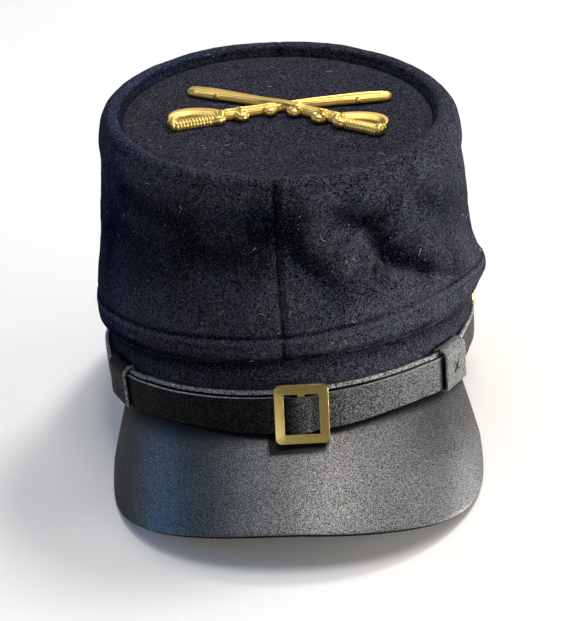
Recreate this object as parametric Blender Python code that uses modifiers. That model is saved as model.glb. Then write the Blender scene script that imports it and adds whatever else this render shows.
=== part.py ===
"""A wool kepi cap with a leather visor, a doubled chin strap, a slide buckle, two side
buttons and a crossed-sabre badge.

The pieces are drawn in the cap's own frame: the band stands on the plane z = 0, the
front faces -Y and +X is the wearer's left. A turn is an angle round the band, 0 at the
front and growing towards +X. One empty then tips the whole cap back into the pose in
which it rests on a table, on the visor's edge and the back of the band.
"""

import math

import bmesh
import bpy
from mathutils import Euler, Matrix, Vector

MM = 0.001
GAP = 0.3 * MM

# Band: the strip of cloth round the head.
BAND_HALF_WIDTH = 84.0 * MM
BAND_HALF_LENGTH = 94.3 * MM
BAND_WALL = 2.0 * MM
BAND_TOP = 33.0 * MM

# Crown wall: its hem laps over the band, and its top is turned over into a soft rim.
CROWN_WALL = 2.0 * MM
HEM_EDGE = 27.0 * MM
HEM_SLANT = 0.012
HEM_SIDE_LIFT = 3.5 * MM
SEAM_TURN = 0.12
CROWN_STEPS = 30

# Top of the crown: an oval disc, tipped forwards and a little to the wearer's left.
TOP_CENTRE = Vector((2.9 * MM, -32.3 * MM, 114.0 * MM))
TOP_HALF_WIDTH = 64.8 * MM
TOP_HALF_LENGTH = 61.7 * MM
TOP_FORWARD_TILT = math.radians(17.4)
TOP_SIDE_TILT = math.radians(3.8)
TOP_WALL = 2.0 * MM

# Visor: a sheet bent one way only, so that it is straight along its slope.
VISOR_WALL = 1.8 * MM
VISOR_SLOPE = math.radians(36.5)
VISOR_LEVEL = -0.5 * MM
VISOR_END_TURN = 60.0
VISOR_HALF_WIDTH = 79.0 * MM
VISOR_FRONT_Y = -133.1 * MM
VISOR_FRONT_SKEW = -0.033
VISOR_CORNER_Y = -64.5 * MM
VISOR_CORNER_POWER = 2.25
VISOR_STATIONS = 32
VISOR_ROWS = 5

# Chin strap: two straps that overlap across the front.
STRAP_WALL = 1.5 * MM
STRAP_SLANT = 0.006
FRONT_STRAP_LOW = -1.8 * MM
FRONT_STRAP_HIGH = 12.0 * MM
BACK_STRAP_LOW = 1.6 * MM
BACK_STRAP_HIGH = 14.1 * MM
STRAP_STEP = 3.0
BUTTON_TURN = 99.0
STRAP_END_TURN = 105.0
STRAP_RISE = {-1: 5.0 * MM, 1: 3.0 * MM}
STRAP_RISE_TURNS = (42.0, 85.0)
KEEPER_TURNS = {-1: (51.0, 61.5), 1: (46.0, 56.5)}
KEEPER_WALL = 1.0 * MM
KEEPER_STEPS = 4

# Buckle: a flat brass frame with a bar behind its middle.
BUCKLE_TURN = 3.1
BUCKLE_OUT = 5.8 * MM
BUCKLE_HEIGHT = 5.3 * MM
BUCKLE_PITCH = math.radians(12.0)
BUCKLE_ROLL = math.radians(2.5)
BUCKLE_WIDTH = 21.4 * MM
BUCKLE_LENGTH = 23.5 * MM
BUCKLE_LIMB = 3.8 * MM
BUCKLE_PLATE = 1.8 * MM
BUCKLE_CORNER = 2.4 * MM
BUCKLE_OPENING_CORNER = 0.4 * MM
BUCKLE_BAR_WIDTH = 3.0 * MM
BUCKLE_BAR_WALL = 1.1 * MM

# Side buttons.
BUTTON_RADIUS = 7.3 * MM
BUTTON_DOME = 3.0 * MM
BUTTON_RIM = 1.2 * MM
SHANK_RADIUS = 1.5 * MM
SHANK_LENGTH = 5.6 * MM

# Passes by which the three points on which the cap rests are found.
REST_PASSES = 5

# Badge: two sabres in their scabbards, cast in one piece.
BADGE_X = 2.5 * MM
BADGE_Y = -0.4 * MM
BADGE_TURN = math.radians(-5.5)
SABRE_CHORD = 94.0 * MM
SABRE_RISE = 3.0 * MM
SABRE_ANGLE = math.radians(21.3)
# How far a sabre's hilt is drawn in, and its tip out, as shares of the chord.
SABRE_ENDS = {1: (0.0, 0.012), -1: (0.030, 0.0)}
CAST_SINK = {"scabbard": 0.3 * MM, "grip": 0.5 * MM, "bow": 0.7 * MM}
POST_RADIUS = 0.8 * MM
POST_LENGTH = 4.5 * MM
POST_ROOT = 1.0 * MM
POST_SPREAD = 26.0 * MM
POST_Y = -2.6 * MM

# Crown wall, level rings above the hem edge: height above it, distance out from the band.
HEM_RINGS = (
    # rise, out
    (0.0, 2.34),
    (0.7, 2.40),
    (1.5, 4.0),
    (4.8, 4.4),
    (8.6, 4.2),
    (10.6, 3.6),
)

# Crown wall, rings round the top: distance out from the disc, height above its face.
RIM_RINGS = (
    # out, height
    (10.8, -13.0),
    (10.9, -7.0),
    (9.8, -1.6),
    (8.1, 2.0),
    (5.8, 4.2),
    (3.6, 4.6),
    (1.7, 3.6),
    (0.5, 1.0),
    (0.4, -3.0),
)
WALL_RINGS = 7

# Height of the crown wall for which a fold's "up" runs from 0 to 1, and the height over
# which the folds fade into the hem, both in mm.
WALL_HEIGHT = 65.0
HEM_FADE = 5.0

# Share by which the rim stands out further at the wearer's left.
RIM_FULLNESS = 0.16

# Folds of the crown wall, as soft dents (negative) and swellings. A fold runs from one
# end to the other, each end given as a turn and a share of the way up the wall.
FOLDS = (
    # turn 1, up 1, turn 2, up 2, depth, half width across
    (-24.0, 0.72, 26.0, 0.66, -3.0, 0.16),
    (18.0, 0.74, 70.0, 0.34, -3.2, 0.12),
    (40.0, 0.22, 84.0, -0.07, 3.2, 0.09),
    (-70.0, 0.78, -22.0, 0.56, -2.0, 0.14),
    (-72.0, 0.40, -34.0, 0.34, -1.6, 0.14),
    (110.0, 0.55, 160.0, 0.45, -2.2, 0.16),
    (-160.0, 0.40, -110.0, 0.52, -2.2, 0.16),
)
FOLD_END_SOFTNESS = 14.0

# Straps: how far the inner face lies out from the band at its top and bottom edges.
FRONT_STRAP_ROUTE = (
    # turn, out at top, out at bottom
    (-105.0, 0.3, 0.3),
    (-91.0, 0.3, 0.3),
    (-81.0, 1.9, 1.9),
    (-72.0, 2.2, 2.2),
    (-62.5, 3.4, 3.4),
    (-50.0, 3.4, 3.4),
    (-41.0, 2.1, 2.1),
    (-30.0, 2.1, 2.1),
    (-4.5, 2.5, 5.4),
    (-1.7, 2.5, 5.4),
    (1.7, 4.8, 7.7),
    (4.5, 4.8, 7.7),
    (7.8, 2.5, 5.4),
    (10.5, 2.5, 5.4),
    (30.0, 2.1, 2.1),
    (37.0, 2.1, 2.1),
    (45.0, 3.4, 3.4),
    (58.0, 3.4, 3.4),
)
BACK_STRAP_ROUTE = (
    # turn, out at top, out at bottom
    (-63.0, 1.6, 1.6),
    (-50.0, 1.6, 1.6),
    (-41.0, 0.3, 0.3),
    (37.0, 0.3, 0.3),
    (45.0, 1.6, 1.6),
    (57.5, 1.6, 1.6),
    (67.0, 0.3, 0.3),
    (105.0, 0.3, 0.3),
)

# Keeper: the inside of the loop that goes round both straps.
KEEPER_LOOP = (
    # out, height
    (1.3, 1.3),
    (1.8, -0.2),
    (3.0, -2.1),
    (5.0, -2.1),
    (5.2, -1.8),
    (5.2, 12.4),
    (4.8, 13.1),
    (3.3, 14.3),
    (1.5, 14.4),
    (1.3, 14.1),
)

# Sabre along its own arc: place from hilt (0) to tip (1), width and height of the casting.
SCABBARD = (
    # place, width, height
    (0.20, 6.2, 2.6),
    (0.30, 6.8, 2.8),
    (0.42, 6.0, 2.7),
    (0.52, 5.2, 2.6),
    (0.72, 6.4, 2.7),
    (0.88, 7.4, 2.8),
    (0.95, 7.2, 2.6),
    (0.98, 6.0, 2.3),
    (1.00, 2.2, 1.2),
)
SCABBARD_STEPS = 16

# The upper scabbard rides over the lower one at this place, by this much.
CROSSING_PLACE = 0.5
CROSSING_RISE = 0.9
CROSSING_REACH = 0.1

# Grip, with ribs that stand out from it.
GRIP = (
    # place, sideways, width, height
    (0.000, -1.9, 5.6, 2.7),
    (0.205, -3.0, 5.2, 2.6),
)
GRIP_RIBS = 9
GRIP_RIB = 0.5

# Bow of the guard: its two ends, and how far it bulges between them.
BOW = (
    # place, sideways, width, height
    (-0.010, 0.0, 4.6, 2.3),
    (0.225, -0.8, 6.4, 2.5),
)
BOW_BULGE = 8.0
BOW_PEAK = 0.62
BOW_STEPS = 10

# Rounded mounts on a sabre: the pommel, the guard, its quillon and three on the scabbard.
MOUNTS = (
    # place, sideways, length, width, height
    (0.000, -1.6, 3.6, 5.0, 5.0),
    (0.222, -1.2, 3.0, 6.0, 5.2),
    (0.200, -5.0, 5.0, 3.2, 4.4),
    (0.303, -4.6, 5.6, 5.0, 4.6),
    (0.437, -3.9, 5.0, 4.6, 4.4),
    (0.838, -3.3, 2.2, 2.4, 4.4),
)

WOOL = ("wool", (0.012, 0.015, 0.030), 0.95, 0.0)
LEATHER = ("leather", (0.013, 0.013, 0.015), 0.45, 0.0)
BUCKLE_BRASS = ("buckle_brass", (0.38, 0.29, 0.12), 0.35, 1.0)
BADGE_BRASS = ("badge_brass", (0.70, 0.48, 0.13), 0.25, 1.0)


def material(name, colour, roughness, metallic):
    """Make a Principled material."""
    made = bpy.data.materials.new(name)
    made.use_nodes = True
    shader = made.node_tree.nodes["Principled BSDF"]
    shader.inputs["Base Color"].default_value = (*colour, 1.0)
    shader.inputs["Roughness"].default_value = roughness
    shader.inputs["Metallic"].default_value = metallic
    return made


def clear_scene():
    """Remove what the scene holds."""
    for old in list(bpy.data.objects):
        bpy.data.objects.remove(old, do_unlink=True)


def new_collection(name):
    """Make a collection in the scene."""
    made = bpy.data.collections.new(name)
    bpy.context.scene.collection.children.link(made)
    return made


def add_object(name, mesh, collection, parent, finish=None):
    """Put a mesh in a collection as an object under a parent."""
    made = bpy.data.objects.new(name, mesh)
    collection.objects.link(made)
    made.parent = parent
    if finish is not None:
        made.data.materials.append(finish)
    return made


def ease(share):
    """Smooth step from 0 to 1."""
    share = min(1.0, max(0.0, share))
    return share * share * (3.0 - 2.0 * share)


def along(rows, place):
    """Read the columns of a table at a place given by its first column."""
    if place <= rows[0][0]:
        return rows[0][1:]
    for low, high in zip(rows, rows[1:]):
        if place <= high[0]:
            share = ease((place - low[0]) / (high[0] - low[0]))
            return tuple(a + (b - a) * share for a, b in zip(low[1:], high[1:]))
    return rows[-1][1:]


def sheet_mesh(name, rows, wrap=False):
    """Make a mesh of quads between equal rows of points.

    Its faces look to the side from which the columns run right and the rows run up.
    """
    mesh = bpy.data.meshes.new(name)
    width = len(rows[0])
    points = [point for row in rows for point in row]
    columns = width if wrap else width - 1
    faces = []
    for i in range(len(rows) - 1):
        for j in range(columns):
            k = (j + 1) % width
            low, high = i * width, (i + 1) * width
            faces.append((low + j, low + k, high + k, high + j))
    mesh.from_pydata(points, [], faces)
    return mesh


def tube_mesh(name, rings):
    """Make a closed mesh from rings of points, with flat caps."""
    mesh = sheet_mesh(name, rings, wrap=True)
    shape = bmesh.new()
    shape.from_mesh(mesh)
    shape.verts.ensure_lookup_table()
    width = len(rings[0])
    shape.faces.new(shape.verts[:width])
    shape.faces.new(shape.verts[-width:])
    bmesh.ops.recalc_face_normals(shape, faces=shape.faces[:])
    shape.to_mesh(mesh)
    shape.free()
    return mesh


def thicken(thing, thickness, outward=False):
    """Give a sheet its wall, behind its face or in front of it."""
    wall = thing.modifiers.new("wall", "SOLIDIFY")
    wall.thickness = thickness
    wall.offset = 1.0 if outward else -1.0
    wall.use_even_offset = True


def smooth(thing, angle=40.0):
    """Shade a round piece smooth, with its edges kept sharp."""
    thing.data.shade_smooth()
    thing.data.set_sharp_from_angle(angle=math.radians(angle))


def boolean(thing, other, operation, solver="EXACT"):
    """Cut a thing with another, or unite the two."""
    step = thing.modifiers.new(other.name, "BOOLEAN")
    step.operation = operation
    step.object = other
    step.solver = solver


def band_point(turn, out=0.0, height=0.0, slant=0.0):
    """A point beside the band's outer face."""
    angle = math.radians(turn)
    x = (BAND_HALF_WIDTH + out) * math.sin(angle)
    y = -(BAND_HALF_LENGTH + out) * math.cos(angle)
    return Vector((x, y, height + slant * x))


def band_heading(turn):
    """Angle about Z by which the band's outward direction differs from the front's."""
    angle = math.radians(turn)
    return math.atan2(math.sin(angle) / BAND_HALF_WIDTH, math.cos(angle) / BAND_HALF_LENGTH)


def turns_between(start, end, step):
    """Evenly spaced turns, about one step apart."""
    count = max(1, round(abs(end - start) / step))
    return [start + (end - start) * i / count for i in range(count + 1)]


# Crown


def top_frame():
    """Place and tilt of the crown's top."""
    tilt = Euler((TOP_FORWARD_TILT, TOP_SIDE_TILT, 0.0)).to_matrix().to_4x4()
    return Matrix.Translation(TOP_CENTRE) @ tilt


def hem_lift(turn):
    """How much the hem's upper ridge rises towards the sides."""
    return HEM_SIDE_LIFT * math.sin(math.radians(turn)) ** 2


def fold_depth(turn, up):
    """Sum of the folds at a place on the crown wall."""
    total = 0.0
    for turn_1, up_1, turn_2, up_2, depth, width in FOLDS:
        share = min(1.0, max(0.0, (turn - turn_1) / (turn_2 - turn_1)))
        past = (turn - (turn_1 + (turn_2 - turn_1) * share)) / FOLD_END_SOFTNESS
        aside = (up - (up_1 + (up_2 - up_1) * share)) / width
        total += depth * MM * math.exp(-past * past - aside * aside)
    return total


def crown_ring_points(turn):
    """Points of the crown wall's outer face at one turn, from the hem to the rim's lip."""
    points = []
    top_rise = HEM_RINGS[-1][0]
    for rise, out in HEM_RINGS:
        height = HEM_EDGE + rise * MM + hem_lift(turn) * ease(rise / top_rise)
        fold = fold_depth(turn, (rise - top_rise) / WALL_HEIGHT) * ease(rise / HEM_FADE)
        points.append(band_point(turn, out * MM + fold, height, HEM_SLANT))
    frame = top_frame()
    angle = math.radians(turn)
    rim = []
    for out, height in RIM_RINGS:
        reach = out * MM * (1.0 + RIM_FULLNESS * max(0.0, math.sin(angle)))
        x = (TOP_HALF_WIDTH + reach) * math.sin(angle)
        y = -(TOP_HALF_LENGTH + reach) * math.cos(angle)
        rim.append(frame @ Vector((x, y, height * MM)))
    heading = band_heading(turn)
    outward = Vector((math.sin(heading), -math.cos(heading), 0.0))
    foot, head = points[-1] - outward * fold_depth(turn, 0.0), rim[0]
    for i in range(1, WALL_RINGS):
        up = i / WALL_RINGS
        points.append(foot.lerp(head, up) + outward * fold_depth(turn, up))
    return points + rim


def build_crown_half(name, start, end, collection, parent):
    """One half of the crown wall, from one centre seam to the other."""
    columns = [crown_ring_points(turn) for turn in turns_between(start, end, 180.0 / CROWN_STEPS)]
    rows = list(zip(*columns))
    half = add_object(name, sheet_mesh(name, rows), collection, parent, material(*WOOL))
    thicken(half, CROWN_WALL)
    smooth(half, 60.0)
    return half


def build_crown_top(collection, cutters, parent):
    """The oval disc, with two small holes for the badge's posts."""
    shape = bmesh.new()
    bmesh.ops.create_cone(shape, cap_ends=True, segments=2 * CROWN_STEPS,
                          radius1=1.0, radius2=1.0, depth=TOP_WALL)
    reach = RIM_RINGS[-1][0] * MM - GAP
    size = Vector((TOP_HALF_WIDTH + reach, TOP_HALF_LENGTH + reach, 1.0))
    bmesh.ops.scale(shape, vec=size, verts=shape.verts)
    mesh = bpy.data.meshes.new("crown_top")
    shape.to_mesh(mesh)
    shape.free()
    disc = add_object("crown_top", mesh, collection, parent, material(*WOOL))
    disc.location.z = -TOP_WALL / 2.0
    for side in (-1, 1):
        hole = cylinder("post_hole", POST_RADIUS + GAP, 3.0 * TOP_WALL, 12, cutters, parent)
        hole.location = badge_place(side * POST_SPREAD / 2.0, POST_Y)
        boolean(disc, hole, "DIFFERENCE")
    return disc


def cylinder(name, radius, length, sides, collection, parent):
    """A cylinder along Z about its own centre."""
    shape = bmesh.new()
    bmesh.ops.create_cone(shape, cap_ends=True, segments=sides, radius1=radius,
                          radius2=radius, depth=length)
    mesh = bpy.data.meshes.new(name)
    shape.to_mesh(mesh)
    shape.free()
    return as_guide(add_object(name, mesh, collection, parent))


def as_guide(thing):
    """Mark an object as a cutter or a member of a union, which isn't a piece itself."""
    thing.hide_render = True
    thing.display_type = "WIRE"
    return thing


# Band and visor


def build_band(collection, cutters, parent):
    """The strip of cloth round the head, with a hole for each button's shank."""
    turns = turns_between(0.0, 360.0, 180.0 / CROWN_STEPS)[:-1]
    rows = [[band_point(turn, 0.0, 0.0) for turn in turns],
            [band_point(turn, 0.0, BAND_TOP / 2.0) for turn in turns],
            [band_point(turn, 0.0, BAND_TOP, HEM_SLANT) for turn in turns]]
    band = add_object("band", sheet_mesh("band", rows, wrap=True), collection, parent,
                      material(*WOOL))
    thicken(band, BAND_WALL)
    for side in (-1, 1):
        boolean(band, shank_hole(side, cutters, parent), "DIFFERENCE")
    smooth(band)
    return band


def visor_drop(x, y):
    """Height of the visor's upper face, which falls at one slope along -Y."""
    band_y = -BAND_HALF_LENGTH * math.sqrt(1.0 - (x / BAND_HALF_WIDTH) ** 2)
    return VISOR_LEVEL - max(0.0, band_y - y) * math.tan(VISOR_SLOPE)


def visor_edge(share):
    """The visor's outer edge, from its right end (0) round the front to its left end (1)."""
    angle = math.pi * share
    power = 2.0 / VISOR_CORNER_POWER
    across = math.copysign(abs(math.cos(angle)) ** power, -math.cos(angle))
    forward = abs(math.sin(angle)) ** power
    x = VISOR_HALF_WIDTH * across
    front_y = VISOR_FRONT_Y + VISOR_FRONT_SKEW * x
    return x, VISOR_CORNER_Y + (front_y - VISOR_CORNER_Y) * forward


def visor_rows():
    """Rows of the visor's upper face, from its front edge back to its sewn margin."""
    stations = []
    for i in range(VISOR_STATIONS + 1):
        share = i / VISOR_STATIONS
        turn = VISOR_END_TURN * (2.0 * share - 1.0)
        x_edge, y_edge = visor_edge(share)
        foot = band_point(turn)
        line = [band_point(turn, -BAND_WALL, VISOR_LEVEL), band_point(turn, 0.0, VISOR_LEVEL)]
        for row in range(1, VISOR_ROWS + 1):
            way = row / VISOR_ROWS
            x = foot.x + (x_edge - foot.x) * way
            y = foot.y + (y_edge - foot.y) * way
            line.append(Vector((x, y, visor_drop(x, y))))
        stations.append(line[::-1])
    return list(zip(*stations))


def build_visor(collection, parent):
    """The leather visor, with a flat margin under the band's edge."""
    visor = add_object("visor", sheet_mesh("visor", visor_rows()), collection, parent,
                       material(*LEATHER))
    thicken(visor, VISOR_WALL)
    smooth(visor)
    return visor


# Chin strap


def strap_rise(turn):
    """How much the straps climb towards the button on their side."""
    start, end = STRAP_RISE_TURNS
    return STRAP_RISE[1 if turn > 0.0 else -1] * ease((abs(turn) - start) / (end - start))


def button_height(side):
    """Height of a button, at the middle of the strap that it holds."""
    low, high = ((FRONT_STRAP_LOW, FRONT_STRAP_HIGH) if side < 0 else
                 (BACK_STRAP_LOW, BACK_STRAP_HIGH))
    return (low + high) / 2.0 + strap_rise(side * BUTTON_TURN)


def shank_hole(side, cutters, parent):
    """Cutter for the hole that a button's shank passes through."""
    hole = cylinder("shank_hole", SHANK_RADIUS + GAP, 4.0 * SHANK_LENGTH, 12, cutters, parent)
    place_on_band(hole, side * BUTTON_TURN, 0.0, button_height(side))
    return hole


def place_on_band(thing, turn, out, height):
    """Put a thing on the band's face with its own +Z pointing outwards."""
    thing.location = band_point(turn, out, height)
    thing.rotation_euler = (math.radians(90.0), 0.0, band_heading(turn))


def strap_turns(route):
    """Turns of a strap's columns: its route's own, with even steps between them."""
    turns = []
    for low, high in zip(route, route[1:]):
        step = STRAP_STEP if high[0] - low[0] > 3.0 * STRAP_STEP else STRAP_STEP / 2.0
        turns += turns_between(low[0], high[0], step)[:-1]
    return turns + [route[-1][0]]


def end_share(turn):
    """Share of the strap's width that is left where its end is rounded."""
    past = (abs(turn) - BUTTON_TURN) / (STRAP_END_TURN - BUTTON_TURN)
    return math.sqrt(1.0 - 0.8 * min(1.0, max(0.0, past)) ** 2)


def build_strap(name, route, low, high, button_side, collection, cutters, parent):
    """A leather strap that follows its route, with a hole for its button."""
    middle, half = (low + high) / 2.0, (high - low) / 2.0
    lower, upper = [], []
    for turn in strap_turns(route):
        out_top, out_bottom = along(route, turn)
        reach, centre = half * end_share(turn), middle + strap_rise(turn)
        lower.append(band_point(turn, out_bottom * MM, centre - reach, STRAP_SLANT))
        upper.append(band_point(turn, out_top * MM, centre + reach, STRAP_SLANT))
    strap = add_object(name, sheet_mesh(name, [lower, upper]), collection, parent,
                       material(*LEATHER))
    thicken(strap, STRAP_WALL, outward=True)
    boolean(strap, shank_hole(button_side, cutters, parent), "DIFFERENCE")
    smooth(strap)
    return strap


def build_keeper(name, side, collection, parent):
    """The leather loop that goes round both straps."""
    near, far = KEEPER_TURNS[side]
    turns = turns_between(side * near, side * far, (far - near) / KEEPER_STEPS)
    rows = []
    for out, height in KEEPER_LOOP:
        rows.append([band_point(turn, out * MM, height * MM + strap_rise(turn), STRAP_SLANT)
                     for turn in turns])
    if side > 0:
        rows.reverse()
    columns = list(zip(*rows))
    keeper = add_object(name, sheet_mesh(name, columns, wrap=True), collection, parent,
                        material(*LEATHER))
    thicken(keeper, KEEPER_WALL, outward=True)
    smooth(keeper)
    return keeper


# Buckle


def rounded_box_curve(name, width, length, corner, depth):
    """Flat outline with round corners, as a mesh plate of the given depth."""
    curve = bpy.data.curves.new(name, "CURVE")
    curve.dimensions = "2D"
    curve.fill_mode = "BOTH"
    curve.extrude = depth / 2.0
    add_outline(curve, width, length, corner)
    return curve


def add_outline(curve, width, length, corner, steps=3):
    """Add a rectangle with round corners to a flat curve."""
    points = []
    for quarter in range(4):
        sign_x = 1.0 if quarter in (0, 3) else -1.0
        sign_y = 1.0 if quarter < 2 else -1.0
        centre = Vector((sign_x * (width / 2.0 - corner), sign_y * (length / 2.0 - corner)))
        for i in range(steps + 1):
            angle = math.radians(90.0) * (quarter + i / steps)
            points.append(centre + corner * Vector((math.cos(angle), math.sin(angle))))
    spline = curve.splines.new("POLY")
    spline.points.add(len(points) - 1)
    for target, point in zip(spline.points, points):
        target.co = (point.x, point.y, 0.0, 1.0)
    spline.use_cyclic_u = True


def curve_as_mesh(name, curve):
    """Turn a curve into a welded mesh."""
    holder = bpy.data.objects.new(name, curve)
    bpy.context.scene.collection.objects.link(holder)
    evaluated = holder.evaluated_get(bpy.context.evaluated_depsgraph_get())
    mesh = bpy.data.meshes.new_from_object(evaluated)
    bpy.data.objects.remove(holder, do_unlink=True)
    shape = bmesh.new()
    shape.from_mesh(mesh)
    bmesh.ops.remove_doubles(shape, verts=shape.verts, dist=0.001 * MM)
    bmesh.ops.recalc_face_normals(shape, faces=shape.faces)
    shape.to_mesh(mesh)
    shape.free()
    return mesh


def box(name, low, high, collection, parent):
    """A box between two corners."""
    shape = bmesh.new()
    bmesh.ops.create_cube(shape, size=1.0)
    size = Vector(high) - Vector(low)
    bmesh.ops.scale(shape, vec=size, verts=shape.verts)
    bmesh.ops.translate(shape, vec=(Vector(high) + Vector(low)) / 2.0, verts=shape.verts)
    mesh = bpy.data.meshes.new(name)
    shape.to_mesh(mesh)
    shape.free()
    return as_guide(add_object(name, mesh, collection, parent))


def build_buckle(collection, cutters, parent):
    """A flat frame with its bar set back behind the opening.

    Its own X runs across, its Y up, and its Z out from the band; its back face is Z = 0.
    """
    curve = rounded_box_curve("buckle", BUCKLE_WIDTH, BUCKLE_LENGTH, BUCKLE_CORNER, BUCKLE_PLATE)
    opening_width = BUCKLE_WIDTH - 2.0 * BUCKLE_LIMB
    opening_length = BUCKLE_LENGTH - 2.0 * BUCKLE_LIMB
    add_outline(curve, opening_width, opening_length, BUCKLE_OPENING_CORNER, steps=1)
    mesh = curve_as_mesh("buckle", curve)
    mesh.transform(Matrix.Translation((0.0, 0.0, BUCKLE_PLATE / 2.0)))
    buckle = add_object("buckle", mesh, collection, parent, material(*BUCKLE_BRASS))
    buckle.location = band_point(BUCKLE_TURN, BUCKLE_OUT, BUCKLE_HEIGHT)
    heading = Matrix.Rotation(band_heading(BUCKLE_TURN), 4, "Z")
    stand = Matrix.Rotation(math.radians(90.0) - BUCKLE_PITCH, 4, "X")
    roll = Matrix.Rotation(-BUCKLE_ROLL, 4, "Z")
    buckle.rotation_euler = (heading @ stand @ roll).to_euler()
    boolean(buckle, build_bar(opening_length / 2.0, cutters, buckle), "UNION")
    smooth(buckle, 30.0)
    return buckle


def build_bar(end, collection, parent):
    """The bar behind the opening, with a foot at each end that reaches into the frame."""
    half, reach = BUCKLE_BAR_WIDTH / 2.0, end + BUCKLE_LIMB / 2.0
    back, root = -GAP - BUCKLE_BAR_WALL, BUCKLE_PLATE / 3.0
    bar = box("bar", (-half, -reach, back), (half, reach, root), collection, parent)
    clear = end + GAP / 3.0
    middle = box("bar_middle", (-2.0 * half, -clear, -GAP), (2.0 * half, clear, 2.0 * root),
                 collection, parent)
    boolean(bar, middle, "DIFFERENCE")
    return bar


# Side buttons


def build_button(name, side, collection, parent):
    """A domed button with its shank, turned about its own Z."""
    profile = [(BUTTON_RADIUS * math.sin(angle), BUTTON_RIM + BUTTON_DOME * math.cos(angle))
               for angle in (math.radians(a) for a in (0, 18, 36, 54, 72, 88))]
    profile += [(BUTTON_RADIUS, BUTTON_RIM / 2.0), (BUTTON_RADIUS - BUTTON_RIM / 2.0, 0.0),
                (SHANK_RADIUS, 0.0), (SHANK_RADIUS, -SHANK_LENGTH), (0.0, -SHANK_LENGTH)]
    mesh = bpy.data.meshes.new(name)
    points = [(x, 0.0, z) for x, z in profile]
    mesh.from_pydata(points, [(i, i + 1) for i in range(len(points) - 1)], [])
    button = add_object(name, mesh, collection, parent, material(*BADGE_BRASS))
    turned = button.modifiers.new("turned", "SCREW")
    turned.steps = 16
    turned.render_steps = 16
    turned.use_merge_vertices = True
    turned.merge_threshold = 0.01 * MM
    place_on_band(button, side * BUTTON_TURN, STRAP_WALL + 2.0 * GAP, button_height(side))
    smooth(button)
    return button


# Badge


def badge_place(x, y, height=0.0):
    """A point of the badge's own plan, in the frame of the crown's top."""
    turned = Matrix.Rotation(BADGE_TURN, 2) @ Vector((x, y))
    return Vector((BADGE_X + turned.x, BADGE_Y + turned.y, height))


def sabre_point(hand, place, sideways=0.0):
    """A point on a sabre: place runs from hilt (0) to tip (1), sideways towards its back.

    The sabre of hand 1 has its hilt at -X; the other is its mirror image.
    """
    hilt, tip = SABRE_ENDS[hand]
    place += hilt * (1.0 - place) ** 3 + tip * place ** 3
    radius = (SABRE_CHORD ** 2 / 4.0 + SABRE_RISE ** 2) / (2.0 * SABRE_RISE)
    half_angle = math.asin(SABRE_CHORD / 2.0 / radius)
    angle = half_angle * (2.0 * place - 1.0)
    reach = radius + sideways
    x = reach * math.sin(angle)
    y = reach * math.cos(angle) - radius + SABRE_RISE
    turned = Matrix.Rotation(SABRE_ANGLE, 2) @ Vector((x, y))
    return Vector((hand * turned.x, turned.y))


def cast_ring(hand, place, sideways, width, height, part):
    """Section of a casting: round above, and below a little past its flat back."""
    sink = CAST_SINK[part] - hand * GAP / 4.0
    ring = []
    for i in range(7):
        angle = math.pi * i / 6.0
        across = sideways + width / 2.0 * math.cos(angle)
        plan = sabre_point(hand, place, across)
        rise = height * math.sin(angle) if 0 < i < 6 else -sink
        ring.append(badge_place(plan.x, plan.y, GAP + rise))
    return ring


def build_scabbard(hand, collection, parent):
    """The scabbard of one sabre; that of hand -1 rides over the other where they cross."""
    rings = []
    for i in range(SCABBARD_STEPS + 1):
        share = math.sin(math.radians(90.0) * i / SCABBARD_STEPS)
        place = SCABBARD[0][0] + (SCABBARD[-1][0] - SCABBARD[0][0]) * share
        width, height = along(SCABBARD, place)
        if hand < 0:
            past = (place - CROSSING_PLACE) / CROSSING_REACH
            height += CROSSING_RISE * math.exp(-past * past)
        rings.append(cast_ring(hand, place, 0.0, width * MM, height * MM, "scabbard"))
    return as_guide(add_object("scabbard", tube_mesh("scabbard", rings), collection, parent))


def build_grip(hand, collection, parent):
    """The ribbed grip."""
    rings = []
    for i in range(2 * GRIP_RIBS + 1):
        place = GRIP[0][0] + (GRIP[-1][0] - GRIP[0][0]) * i / (2.0 * GRIP_RIBS)
        sideways, width, height = along(GRIP, place)
        rib = GRIP_RIB if i % 2 else 0.0
        rings.append(cast_ring(hand, place, sideways * MM, (width + rib) * MM,
                               (height + rib) * MM, "grip"))
    return as_guide(add_object("grip", tube_mesh("grip", rings), collection, parent))


def build_bow(hand, collection, parent):
    """The guard that bows over the grip, which leaves an opening between the two."""
    rings = []
    for i in range(BOW_STEPS + 1):
        share = i / BOW_STEPS
        place, sideways, width, height = (a + (b - a) * share for a, b in zip(*BOW))
        sideways += BOW_BULGE * math.sin(math.pi * share ** BOW_PEAK) ** 0.75
        rings.append(cast_ring(hand, place, sideways * MM, width * MM, height * MM, "bow"))
    return as_guide(add_object("bow", tube_mesh("bow", rings), collection, parent))


def build_mount(hand, place, sideways, size, collection, parent):
    """A small rounded mount on a sabre."""
    shape = bmesh.new()
    bmesh.ops.create_uvsphere(shape, u_segments=10, v_segments=6, radius=0.5)
    bmesh.ops.scale(shape, vec=size, verts=shape.verts)
    mesh = bpy.data.meshes.new("mount")
    shape.to_mesh(mesh)
    shape.free()
    plan = sabre_point(hand, place, sideways)
    mount = add_object("mount", mesh, collection, parent)
    mount.location = badge_place(plan.x, plan.y, GAP + size.z / 4.0)
    mount.rotation_euler.z = BADGE_TURN + hand * SABRE_ANGLE
    return as_guide(mount)


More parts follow.
